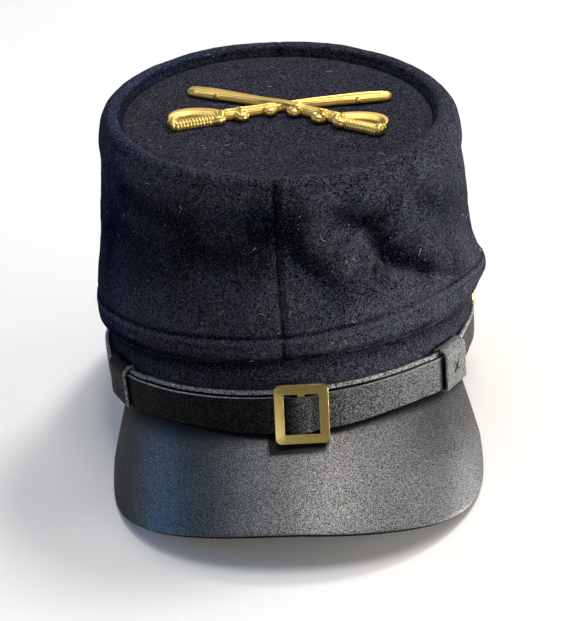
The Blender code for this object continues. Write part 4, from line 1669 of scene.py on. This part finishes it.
    def build_keeper(self, keeper: Keeper) -> None:
        """Build a leather loop that goes round both straps.

        Args:
            keeper: The loop.
        """
        loop = smooth_loop([Vector((out, height, 0.0)) for out, height in self.keeper_loop],
                           0.6)
        side = math.copysign(1.0, keeper.near)
        rows = []
        for i, turn in enumerate(evenly(keeper.far, keeper.near, self.keeper_columns)):
            flare = keeper.flare * (1.0 - ease((self.keeper_columns - i) / 6.0))
            ring = []
            for spot in loop:
                slack = 0.10 * noise.noise(Vector((turn * 0.3, spot.y * 0.2, side)))
                out = spot.x + (flare + slack) * ease(spot.x - 2.5)
                ring.append(self.shop.oval.point(turn, out * MM,
                                                 spot.y * MM + self.climb(turn), self.slant))
            rows.append(ring)
        mesh = sheet_mesh(keeper.name, rows, round_columns=True)
        with opened(mesh) as shape:
            front = max(shape.faces, key=lambda face: -face.calc_center_median().y)
            if front.normal.dot(self.shop.oval.outward(keeper.near)) < 0.0:
                bmesh.ops.reverse_faces(shape, faces=shape.faces)
        # Painted sheen on the keeper.
        note(mesh, "painted_sheen", [keeper.painted_sheen] * len(mesh.vertices))
        if keeper.raw_end:
            for face in mesh.polygons[-len(loop):]:
                face.material_index = 1
        finishes = self.shop.finishes
        made = self.shop.piece(mesh, [finishes.strap, finishes.raw_edge], Slot.STRAP,
                               [keeper.node], sharp=50.0)
        thicken(made, self.keeper_wall, outward=True, edge_slot=1)
        round_edges(made, 0.25 * MM)

    def build_stitch(self) -> None:
        """Build the cross stitch on the keeper at the wearer's left."""
        threads = []
        face = max(out for out, _ in self.keeper_loop) * MM + self.keeper_wall
        for way, lift in ((-1.0, 0.0), (1.0, self.thread)):
            line = []
            for share in evenly(-1.0, 1.0, 10):
                turn = self.stitch_turn + way * share * self.stitch_half
                arch = self.stitch_arch * (1.0 - share ** 4) - self.stitch_sunk
                line.append(self.shop.oval.point(
                    turn, face + arch + lift,
                    self.stitch_height + share * self.stitch_reach + self.climb(turn),
                    self.slant))
            threads.append(thread_tube("stitch", line, self.thread_radius))
        self.shop.piece(join_meshes("keeper_cross_stitch", threads),
                        [self.shop.finishes.black_thread], Slot.STRAP)

    def build(self) -> None:
        """Build the straps, the keepers and the stitch."""
        for strap in (self.front, self.back):
            self.build_strap(strap)
        for keeper in self.keepers:
            self.build_keeper(keeper)
        self.build_stitch()


# Buckle


@dataclass
class Buckle:
    """The flat brass frame with its bar set back behind the opening."""

    shop: Workshop
    turn: float = 3.1
    out: float = 5.8 * MM
    height: float = 5.3 * MM
    pitch: float = math.radians(12.0)
    roll: float = math.radians(2.5)
    width: float = 21.4 * MM
    length: float = 23.5 * MM
    limb: float = 3.8 * MM
    plate: float = 1.8 * MM
    corner: float = 2.4 * MM
    inner_corner: float = 0.5 * MM
    edge: float = 0.25 * MM
    dome: float = 0.55 * MM
    bar_width: float = 3.0 * MM
    bar_wall: float = 1.1 * MM
    bar_foot: float = 1.9 * MM
    bar_play: float = 0.1 * MM
    bar_sunk: float = 0.6 * MM
    gap: float = 0.3 * MM

    def frame_matrix(self) -> Matrix:
        """Find the buckle's own frame: X across, Y up, Z out from the band.

        Returns:
            The frame within the cap's.
        """
        heading = Matrix.Rotation(self.shop.oval.heading(self.turn), 4, "Z")
        stand = Matrix.Rotation(math.radians(90.0) - self.pitch, 4, "X")
        place = self.shop.oval.point(self.turn, self.out, self.height)
        return (Matrix.Translation(place) @ heading @ stand
                @ Matrix.Rotation(-self.roll, 4, "Z"))

    @staticmethod
    def outline(width: float, length: float, corner: float, steps: int = 10) -> list[Vector]:
        """Draw a rectangle with round corners.

        Args:
            width: Its width.
            length: Its length.
            corner: Radius of its corners.
            steps: Number of steps round each corner.

        Returns:
            Its points.
        """
        points = []
        for quarter in range(4):
            side_x = 1.0 if quarter in (0, 3) else -1.0
            side_y = 1.0 if quarter < 2 else -1.0
            centre = Vector((side_x * (width / 2.0 - corner),
                             side_y * (length / 2.0 - corner), 0.0))
            for i in range(steps + 1):
                angle = math.radians(90.0) * (quarter + i / steps)
                points.append(centre + corner * Vector((math.cos(angle), math.sin(angle), 0.0)))
        return points

    def frame_mesh(self) -> Mesh:
        """Lead a section with rounded edges round the opening.

        Returns:
            The frame's mesh.
        """
        outer = self.outline(self.width, self.length, self.corner)
        inner = self.outline(self.width - 2.0 * self.limb, self.length - 2.0 * self.limb,
                             self.inner_corner)
        low, high = self.edge, self.plate - self.edge
        rows = []
        for near, far in zip(inner, outer):
            across = (far - near).normalized()
            outside, inside = far - across * self.edge, near + across * self.edge
            section = []
            for quarter, centre, z in ((3, outside, low), (0, outside, high),
                                       (1, inside, high), (2, inside, low)):
                for i in range(4):
                    angle = math.radians(90.0) * (quarter + i / 3.0)
                    section.append(centre + across * self.edge * math.cos(angle)
                                   + Vector((0.0, 0.0, z + self.edge * math.sin(angle))))
            rows.append(self.hold_flats(section))
        mesh = sheet_mesh("buckle_frame", rows, round_columns=True, round_rows=True)
        with opened(mesh) as shape:
            bmesh.ops.remove_doubles(shape, verts=shape.verts, dist=0.001 * MM)
            bmesh.ops.recalc_face_normals(shape, faces=shape.faces)
        return mesh

    def hold_flats(self, section: list[Vector]) -> list[Vector]:
        """Add a point close to each end of a section's flat sides, which keeps them flat.

        Args:
            section: The section's points.

        Returns:
            The points with the added ones.
        """
        held = []
        for a, b in zip(section, section[1:] + section[:1]):
            held.append(a)
            if (b - a).length > 2.0 * self.edge:
                step = (b - a).normalized() * 0.06 * MM
                held += [a + step, b - step]
        return held

    def bar_mesh(self) -> Mesh:
        """Draw the bar behind the opening, bent forwards to the frame at both ends.

        Returns:
            The bar's mesh.
        """
        opening = self.length / 2.0 - self.limb
        end, bend = opening + self.bar_foot, opening + self.bar_play
        back, front, sunk = -self.gap - self.bar_wall, -self.gap, self.bar_sunk
        side_view = [
            # up, out
            (-end, back), (end, back), (end, sunk), (bend, sunk), (bend, front),
            (-bend, front), (-bend, sunk), (-end, sunk)]
        return tube_mesh("buckle_bar", [
            [Vector((side * self.bar_width / 2.0, up, out)) for up, out in side_view]
            for side in (-1.0, 1.0)])

    def build(self) -> None:
        """Build the buckle."""
        mesh = join_meshes("buckle_frame_and_bar", [self.frame_mesh(), self.bar_mesh()])
        for vert in mesh.vertices:
            far = 1.0 - (vert.co.x / self.width * 2.0) ** 2
            high = 1.0 - (vert.co.y / self.length * 2.0) ** 2
            vert.co.z += self.dome * (far + high)
        buckle = self.shop.piece(mesh, [self.shop.finishes.buckle], Slot.BUCKLE, ["buckle"],
                                 self.frame_matrix(), sharp=55.0)
        round_edges(buckle, 0.12 * MM, 2, 60.0)


# Side buttons


@dataclass
class SideButtons:
    """The two domed buttons that hold the ends of the straps."""

    shop: Workshop
    straps: ChinStrap
    radius: float = 7.3 * MM
    dome: float = 3.0 * MM
    rim: float = 1.2 * MM
    shank_radius: float = 1.5 * MM
    shank_length: float = 5.6 * MM
    lift: float = 2.1 * MM
    spokes: int = 56

    def profile(self) -> list[Pair]:
        """Draw the button's outer side from the dome to the end of its shank.

        Returns:
            Radius and height of each point.
        """
        lip = self.radius - 0.7 * MM
        step, bead = 0.15 * MM, 0.35 * MM
        dome = [math.radians(angle) for angle in range(4, 89, 7)]
        rim = [math.radians(angle) for angle in range(-40, 181, 22)]
        return [
            *((lip * math.sin(a), self.rim + step + (self.dome - step) * math.cos(a))
              for a in dome),
            (lip + 0.05 * MM, self.rim - 0.05 * MM),
            *((self.radius - bead + bead * math.sin(a),
               0.62 * self.rim + 1.2 * bead * math.cos(a)) for a in rim),
            (self.radius - 0.8 * MM, 0.05 * MM), (self.shank_radius, 0.0),
            (self.shank_radius, -self.shank_length), (0.3 * MM, -self.shank_length)]

    def build(self) -> None:
        """Build both buttons."""
        upright = math.radians(90.0)
        for side, hand, strap in ((-1, "right", self.straps.front),
                                  (1, "left", self.straps.back)):
            mesh = tube_mesh(f"button_{hand}_dome", [
                [Vector((r * math.cos(a), r * math.sin(a), z)) for a in circle(self.spokes)]
                for r, z in self.profile()])
            turn = side * self.straps.button_turn
            height = (strap.low + strap.high) / 2.0 + self.straps.climb(turn)
            faced = Euler((upright, 0.0, self.shop.oval.heading(turn))).to_matrix().to_4x4()
            local = Matrix.Translation(self.shop.oval.point(turn, self.lift, height)) @ faced
            self.shop.piece(mesh, [self.shop.finishes.button], Slot.BADGE,
                            [f"button_{hand}"], local, sharp=50.0)


# Badge


@dataclass(frozen=True)
class Sabre:
    """One sabre of the badge."""

    hand: int  # 1 for the sabre with its hilt at -X, -1 for the one that crosses over it
    hilt: float  # how much later than usual it starts, as a share of its length
    tip: float  # how much later it ends
    stretch: float  # how much longer its mounts are
    crossing: Mark  # how much higher its scabbard is where it crosses over, in mm


@dataclass
class SabreBadge:
    """Two crossed sabres in their scabbards, cast in one piece with two posts."""

    shop: Workshop
    place: Pair = (2.5 * MM, -0.4 * MM)
    turned: float = math.radians(-5.5)
    chord: float = 94.0 * MM
    rise: float = 3.0 * MM
    angle: float = math.radians(21.3)
    lift: float = 0.3 * MM
    voxel: float = 0.21 * MM
    section_steps: int = 18
    sunk: float = 0.3
    spine: Mark = Mark(0.42, 0.17, 1.0)
    spine_height: float = 0.42
    scabbard_steps: int = 90
    sabres: tuple = (Sabre(1, 0.0, 0.012, 1.0, Mark(0.5, 0.1, 0.0)),
                     Sabre(-1, 0.030, 0.0, 1.3, Mark(0.5, 0.1, 0.9)))
    scabbard: tuple = (
        # place, width, height
        (0.200, 6.2, 2.9), (0.300, 6.8, 3.1), (0.420, 6.0, 3.0), (0.520, 5.2, 2.9),
        (0.720, 6.4, 3.0), (0.880, 7.4, 3.1), (0.950, 7.2, 2.9), (0.980, 6.0, 2.6),
        (0.995, 3.6, 2.0), (1.000, 1.6, 1.2),
    )
    grip: tuple = (
        # place, sideways, width, height
        (0.000, -1.9, 5.6, 3.2), (0.205, -3.0, 5.2, 3.1),
    )
    ribs: int = 14
    rib: float = 0.42
    bow: tuple = (
        # place, sideways, width, height
        (-0.010, 0.0, 4.8, 2.6), (0.225, -0.8, 7.6, 3.0),
    )
    bulge: float = 7.9
    mounts: tuple = (
        # place, sideways, length, width, height
        (-0.002, -1.4, 3.6, 5.0, 5.2), (-0.010, -3.4, 2.0, 1.8, 4.2),
        (-0.014, 0.4, 2.2, 2.2, 4.4), (0.222, -1.2, 3.0, 6.0, 5.2),
        (0.192, -5.0, 4.6, 3.0, 4.4), (0.214, -4.2, 3.0, 3.0, 4.4),
        (0.303, -4.6, 5.2, 5.0, 4.2), (0.283, -3.9, 2.8, 3.4, 4.9),
        (0.326, -4.2, 2.6, 3.2, 4.4), (0.303, -2.6, 3.2, 3.0, 6.6),
        (0.437, -3.9, 4.8, 4.6, 4.0), (0.416, -3.2, 2.4, 2.8, 4.8),
        (0.459, -3.5, 2.2, 3.0, 4.0), (0.838, -3.3, 1.9, 2.2, 4.4),
    )
    bands: tuple = (Mark(0.250, 0.010, 0.30), Mark(0.303, 0.012, 0.35),
                    Mark(0.437, 0.012, 0.30))
    post_radius: float = 0.8 * MM
    post_length: float = 4.5 * MM
    post_spread: float = 26.0 * MM
    post_y: float = -2.6 * MM
    hollow_depth: float = 0.06 * MM
    foot_height: float = 1.1 * MM

    def plan(self, x: float, y: float, height: float = 0.0) -> Vector:
        """A point of the badge's own plan, in the frame of the crown's top."""
        spot = Matrix.Rotation(self.turned, 2) @ Vector((x, y))
        return Vector((self.place[0] + spot.x, self.place[1] + spot.y, height))

    def sabre_point(self, sabre: Sabre, place: float, sideways: float = 0.0) -> Vector:
        """Find a point on a sabre.

        Args:
            sabre: The sabre.
            place: Place along it, from its hilt (0) to its tip (1).
            sideways: Distance towards its back.

        Returns:
            The point in the badge's plan.
        """
        place += sabre.hilt * (1.0 - place) ** 3 + sabre.tip * place ** 3
        radius = (self.chord ** 2 / 4.0 + self.rise ** 2) / (2.0 * self.rise)
        bend = math.asin(self.chord / 2.0 / radius) * (2.0 * place - 1.0)
        spot = Vector(((radius + sideways) * math.sin(bend),
                       (radius + sideways) * math.cos(bend) - radius + self.rise))
        spot = Matrix.Rotation(self.angle, 2) @ spot
        return Vector((sabre.hand * spot.x, spot.y))

    def ring(self, sabre: Sabre, place: float, sideways: float, width: float, height: float,
             ridge: float = 0.0, fullness: float = 0.5, lean: float = 0.0
             ) -> list[Vector]:
        """Section of a casting, round above and flat below, all sizes in mm.

        Args:
            sabre: The sabre.
            place: Place along it.
            sideways: How far the section's middle lies towards its back.
            width: The section's width.
            height: The section's height.
            ridge: Height of two narrow ridges along it.
            fullness: 1 for a round section, less for a squarer one.
            lean: How far the highest line is moved towards the back, 0 to 1.

        Returns:
            The section's points.
        """
        points = []
        for i in range(self.section_steps + 1):
            angle = math.pi * i / self.section_steps
            across = math.cos(angle) + lean * math.sin(angle) ** 2
            spot = self.sabre_point(sabre, place, (sideways + width / 2.0 * across) * MM)
            rise = (height * math.sin(angle) ** fullness
                    + ridge * (self.spine.at(abs(math.cos(angle))) - 0.5))
            if i in (0, self.section_steps):
                rise = 0.0
            points.append(self.plan(spot.x, spot.y, (rise - self.sunk) * MM + self.lift))
        return points

    def scabbard_mesh(self, sabre: Sabre) -> Mesh:
        """Cast the scabbard, with raised bands and a spine.

        Args:
            sabre: The sabre.

        Returns:
            The mesh.
        """
        rows = []
        mouth = self.scabbard[0][0]
        for i in range(self.scabbard_steps + 1):
            share = math.sin(math.radians(90.0) * (i / self.scabbard_steps) ** 0.85)
            place = mouth + (1.0 - mouth) * share
            width, height = along(self.scabbard, place)
            swell = sum(band.at(place) for band in self.bands)
            height += 0.8 * swell + sabre.crossing.at(place)
            rows.append(self.ring(sabre, place, 0.0, width + swell, height, self.spine_height))
        return tube_mesh("scabbard", rows)

    def grip_mesh(self, sabre: Sabre) -> Mesh:
        """Cast the grip, bound with wire.

        Args:
            sabre: The sabre.

        Returns:
            The mesh.
        """
        rows = []
        (start, *_), (end, *_) = self.grip
        for share in evenly(0.0, 1.0, 8 * self.ribs):
            place = start + (end - start) * share
            sideways, width, height = along(self.grip, place)
            rib = self.rib * (0.5 - 0.5 * math.cos(math.tau * share * self.ribs)) ** 1.5
            rows.append(self.ring(sabre, place, sideways, width + rib, height + rib))
        return tube_mesh("grip", rows)

    def bow_mesh(self, sabre: Sabre) -> Mesh:
        """Cast the guard that bows over the grip.

        Args:
            sabre: The sabre.

        Returns:
            The mesh.
        """
        rows = []
        for share in evenly(0.0, 1.0, 40):
            place, sideways, width, height = (a + (b - a) * share
                                              for a, b in zip(*self.bow))
            sideways += self.bulge * math.sin(math.pi * share ** 0.62) ** 0.75
            rows.append(self.ring(sabre, place, sideways, width, height, ridge=0.25,
                                  fullness=1.0, lean=0.45))
        return tube_mesh("bow", rows)

    def mount_mesh(self, sabre: Sabre, place: float, sideways: float, size: Sequence[float]
                   ) -> Mesh:
        """Cast a rounded mount on a sabre.

        Args:
            sabre: The sabre.
            place: Place along it.
            sideways: Distance towards its back in mm.
            size: The mount's length, width and height in mm.

        Returns:
            The mesh.
        """
        spot = self.sabre_point(sabre, place, sideways * MM)
        length, width, height = size
        size = Vector((length * sabre.stretch, width, height)) * MM
        turned = Matrix.Rotation(self.turned + sabre.hand * self.angle, 4, "Z")
        where = Matrix.Translation(self.plan(spot.x, spot.y, self.lift + size.z / 4.0))
        mesh = bpy.data.meshes.new("mount")
        with opened(mesh) as shape:
            bmesh.ops.create_uvsphere(shape, u_segments=24, v_segments=14, radius=0.5)
            bmesh.ops.scale(shape, vec=size, verts=shape.verts)
            bmesh.ops.transform(shape, matrix=where @ turned, verts=shape.verts)
        return mesh

    def post_mesh(self, side: int) -> Mesh:
        """Make one of the posts at the back.

        Args:
            side: 1 or -1.

        Returns:
            The mesh.
        """
        return tube_mesh("post", [
            [self.plan(side * self.post_spread / 2.0, self.post_y, height)
             + self.post_radius * Vector((math.cos(a), math.sin(a), 0.0)) for a in circle(20)]
            for height in (1.0 * MM, -self.post_length + self.lift)])

    def cast(self, members: Sequence[Mesh]) -> Mesh:
        """Melt the members into one casting with soft inner corners and a flat back.

        Args:
            members: The members.

        Returns:
            The casting.
        """
        holder = put_in_scene("casting", join_meshes("casting", members))
        melt = holder.modifiers.new("melt", "REMESH")
        melt.mode = "VOXEL"
        melt.voxel_size = self.voxel
        soften = holder.modifiers.new("soften", "SMOOTH")
        soften.factor, soften.iterations = 0.5, 2
        graph = bpy.context.evaluated_depsgraph_get()
        mesh = bpy.data.meshes.new_from_object(holder.evaluated_get(graph))
        bpy.data.objects.remove(holder, do_unlink=True)
        with opened(mesh) as shape:
            for vert in shape.verts:
                vert.co.z = max(vert.co.z, self.lift)
            bmesh.ops.dissolve_degenerate(shape, dist=0.001 * MM, edges=shape.edges)
        return mesh

    def mark_hollows(self, mesh: Mesh) -> None:
        """Note how hollow the casting is at each point, for the tarnish there.

        Args:
            mesh: The casting.
        """
        with opened(mesh) as shape:
            shape.normal_update()
            links = [[edge.other_vert(vert).index for edge in vert.link_edges]
                     for vert in shape.verts]
            depths = []
            for vert, near in zip(shape.verts, links):
                middle = sum((shape.verts[i].co for i in near), Vector()) / max(1, len(near))
                depths.append(vert.normal.dot(middle - vert.co) / self.hollow_depth)
            feet = [1.0 - ease((vert.co.z - self.lift) / self.foot_height)
                    for vert in shape.verts]
        for _ in range(2):
            depths = [(depth + sum(depths[i] for i in near)) / (1 + len(near))
                      for depth, near in zip(depths, links)]
        note(mesh, "hollow", [min(1.0, max(0.0, 1.6 * depth + 0.55 * foot))
                              for depth, foot in zip(depths, feet)])

    def build(self) -> None:
        """Build the badge."""
        members = []
        for sabre in self.sabres:
            members += [self.scabbard_mesh(sabre), self.grip_mesh(sabre), self.bow_mesh(sabre)]
            members += [self.mount_mesh(sabre, place, sideways, size)
                        for place, sideways, *size in self.mounts]
        mesh = self.cast(members)
        self.mark_hollows(mesh)
        mesh = join_meshes("sabre_badge", [mesh, self.post_mesh(-1), self.post_mesh(1)])
        self.shop.piece(mesh, [self.shop.finishes.badge], Slot.BADGE, ["badge"],
                        self.shop.top.matrix(), sharp=80.0)


# Lint and nap


@dataclass
class Fibres:
    """Stray white fibres and the short hairs that stand up from the cloth."""

    shop: Workshop
    crown: Crown
    seed: int = 11
    lint_count: int = 300
    nap_count: int = 15000
    lint_radius: float = 0.055 * MM
    lint_steps: int = 7
    nap_radius: float = 0.032 * MM
    share_on_top: float = 0.16
    largest_patch: float = 2.6 * MM * MM

    def spots(self, count: int, dice: random.Random) -> list[tuple[Vector, Vector]]:
        """Pick random places on the crown's wall and top.

        Args:
            count: How many.
            dice: Where chance comes from.

        Returns:
            The places, each with its outward direction.
        """
        grids = [(rows, grid_normals(rows)) for rows in self.crown.halves.values()]
        top, place = self.shop.top, self.shop.top.matrix()
        up = (place.to_3x3() @ Vector((0.0, 0.0, 1.0))).normalized()
        found = []
        while len(found) < count:
            if dice.random() < self.share_on_top:
                reach, angle = math.sqrt(dice.random()) * 0.95, dice.uniform(0.0, math.tau)
                x = top.half_width * reach * math.cos(angle)
                y = top.half_length * reach * math.sin(angle)
                height = self.crown.top_height(x, y, 0.03)
                found.append((place @ Vector((x, y, height)), up))
                continue
            rows, normals = grids[dice.randrange(2)]
            i = dice.randrange(2, len(rows) - 6)
            j = dice.randrange(1, len(rows[0]) - 2)
            across, upward = dice.random(), dice.random()
            low = rows[i][j].lerp(rows[i][j + 1], across)
            high = rows[i + 1][j].lerp(rows[i + 1][j + 1], across)
            patch = (rows[i][j + 1] - rows[i][j]).length * (rows[i + 1][j] - rows[i][j]).length
            if dice.random() < patch / self.largest_patch:
                found.append((low.lerp(high, upward), normals[i][j]))
        return found

    def build_lint(self) -> None:
        """Build the stray fibres, which lie on the cloth in small curls."""
        dice = random.Random(self.seed)
        threads = []
        for point, normal in self.spots(self.lint_count, dice):
            side = normal.cross(Vector((dice.uniform(-1, 1), dice.uniform(-1, 1),
                                        dice.uniform(-1, 1)))).normalized()
            short = dice.random() < 0.86
            length = (dice.uniform(0.35, 1.1) if short else dice.uniform(1.6, 4.5)) * MM
            bend, twist = dice.uniform(-2.6, 2.6), dice.uniform(-1.5, 1.5)
            line, spot, heading = [], point + normal * 0.12 * MM, side.copy()
            for share in evenly(0.0, 1.0, self.lint_steps)[:-1]:
                arch = math.sin(math.pi * share * self.lint_steps / (self.lint_steps - 1))
                line.append(spot + normal * 0.10 * MM * arch)
                turn = (bend + twist * (share - 0.5)) / self.lint_steps
                heading = Matrix.Rotation(turn, 3, normal) @ heading
                spot = spot + heading * length / self.lint_steps
            threads.append(thread_tube("fibre", line, self.lint_radius, 4))
        self.shop.piece(join_meshes("lint_fibres", threads), [self.shop.finishes.lint],
                        Slot.WOOL)

    def build_nap(self) -> None:
        """Build the short hairs, each a thin closed spike."""
        dice = random.Random(self.seed + 1)
        points, faces = [], []
        for point, normal in self.spots(self.nap_count, dice):
            lean = Vector((dice.uniform(-1, 1), dice.uniform(-1, 1), dice.uniform(-1.2, 0.8)))
            way = (normal * 0.55 + lean * 0.8).normalized()
            tip = point + way * dice.uniform(0.45, 1.15) * MM
            side = way.cross(Vector((0.3, 0.5, 0.8))).normalized()
            start = len(points)
            for angle in circle(3):
                turned = Matrix.Rotation(angle, 3, way)
                points.append(point - normal * 0.1 * MM + turned @ side * self.nap_radius)
            points.append(tip)
            faces += [(start, start + 2, start + 1), (start, start + 1, start + 3),
                      (start + 1, start + 2, start + 3), (start + 2, start, start + 3)]
        mesh = bpy.data.meshes.new("wool_nap")
        mesh.from_pydata(points, [], faces)
        self.shop.piece(mesh, [self.shop.finishes.nap], Slot.WOOL)

    def build(self) -> None:
        """Build the lint and the nap."""
        self.build_lint()
        self.build_nap()


# Studio


@dataclass
class Studio:
    """Camera, floor and soft lights."""

    eye: Triple = (17.318 * MM, -433.604 * MM, 289.574 * MM)
    target: Triple = (-3.343 * MM, 19.552 * MM, 34.389 * MM)
    roll: float = math.radians(-5.152)
    lens: float = 63.378
    sensor: float = 36.0
    nearest: float = 0.01
    floor_spokes: int = 64
    floor_rings: tuple = (
        # reach, height
        (1.6, 0.0), (2.2, 0.05), (2.7, 0.35), (2.9, 1.0), (3.0, 2.2),
    )
    lamp_aim: Triple = (0.0, -0.01, 0.08)
    lamps: tuple = (
        # name, place, width, height, power, colour
        ("key", (0.95, 1.15, 2.40), 0.50, 0.50, 46.0, (1.0, 0.98, 0.97)),
        ("overhead", (0.46, 0.10, 2.80), 1.10, 0.80, 36.0, (1.0, 0.955, 0.92)),
        ("right_high", (1.80, 0.20, 1.90), 0.80, 0.80, 11.0, (1.0, 0.97, 0.94)),
        ("right_low", (0.80, -0.16, 0.085), 0.60, 0.14, 12.0, (1.0, 0.99, 0.98)),
        ("left_cool", (-0.80, 0.10, 2.70), 0.80, 0.80, 11.5, (0.78, 0.86, 1.0)),
        ("left_blue", (-1.90, 0.10, 1.00), 0.80, 0.60, 10.0, (0.03, 0.42, 1.0)),
        ("buckle_light", (-0.40, -1.63, 0.20), 0.30, 0.30, 2.5, (1.0, 0.98, 0.95)),
        ("behind", (0.0, 2.20, 1.30), 2.00, 1.60, 8.0, (1.0, 0.86, 0.66)),
    )
    sky: Colour = (0.72, 0.86, 1.0)
    sky_power: float = 0.025

    def build_camera(self) -> None:
        """Set the camera at the photograph's viewing angle."""
        eye, target = Vector(self.eye), Vector(self.target)
        back = (eye - target).normalized()
        right = (-back).cross(Vector((0.0, 0.0, 1.0))).normalized()
        up = right.cross(-back)
        across = math.cos(self.roll) * right + math.sin(self.roll) * up
        upward = -math.sin(self.roll) * right + math.cos(self.roll) * up
        camera = put_in_scene("camera", bpy.data.cameras.new("camera"))
        camera.data.lens = self.lens
        camera.data.sensor_width = self.sensor
        camera.data.clip_start = self.nearest
        camera.matrix_world = (Matrix.Translation(eye)
                               @ Matrix((across, upward, back)).transposed().to_4x4())
        bpy.context.scene.camera = camera

    def build_floor(self) -> None:
        """Lay a pale floor that curves up into a backdrop all round."""
        mesh = sheet_mesh("floor", [
            [Vector((reach * math.cos(a), reach * math.sin(a), height))
             for a in circle(self.floor_spokes)] for reach, height in self.floor_rings],
            round_columns=True)
        with opened(mesh) as shape:
            shape.faces.new(shape.verts[:self.floor_spokes])
            bmesh.ops.recalc_face_normals(shape, faces=shape.faces)
        mesh.materials.append(FloorFinish().make())
        mesh.shade_smooth()
        put_in_scene("floor", mesh)

    def build_lights(self) -> None:
        """Hang the soft lamps and light the sky."""
        for name, place, width, height, power, colour in self.lamps:
            light = bpy.data.lights.new(name, "AREA")
            light.shape = "RECTANGLE"
            light.size, light.size_y, light.energy, light.color = width, height, power, colour
            lamp = put_in_scene(name, light)
            lamp.location = place
            lamp.visible_camera = False
            aim = Vector(self.lamp_aim) - Vector(place)
            lamp.rotation_euler = aim.to_track_quat("-Z", "Y").to_euler()
        bpy.context.scene.view_settings.view_transform = "Standard"
        world = bpy.data.worlds.new("sky")
        world.use_nodes = True
        backdrop = world.node_tree.nodes["Background"]
        backdrop.inputs["Color"].default_value = (*self.sky, 1.0)
        backdrop.inputs["Strength"].default_value = self.sky_power
        bpy.context.scene.world = world

    def build(self) -> None:
        """Build the studio."""
        self.build_camera()
        self.build_floor()
        self.build_lights()


def main() -> None:
    """Build the cap and its studio."""
    logging.basicConfig(level=logging.INFO, format="%(name)s: %(message)s")
    Studio().build()
    shop = Workshop()
    crown = Crown(shop)
    crown.build()
    Band(shop, crown).build()
    Visor(shop).build()
    straps = ChinStrap(shop)
    straps.build()
    Buckle(shop).build()
    SideButtons(shop, straps).build()
    SabreBadge(shop).build()
    Fibres(shop, crown).build()


if __name__ == "__main__":
    main()
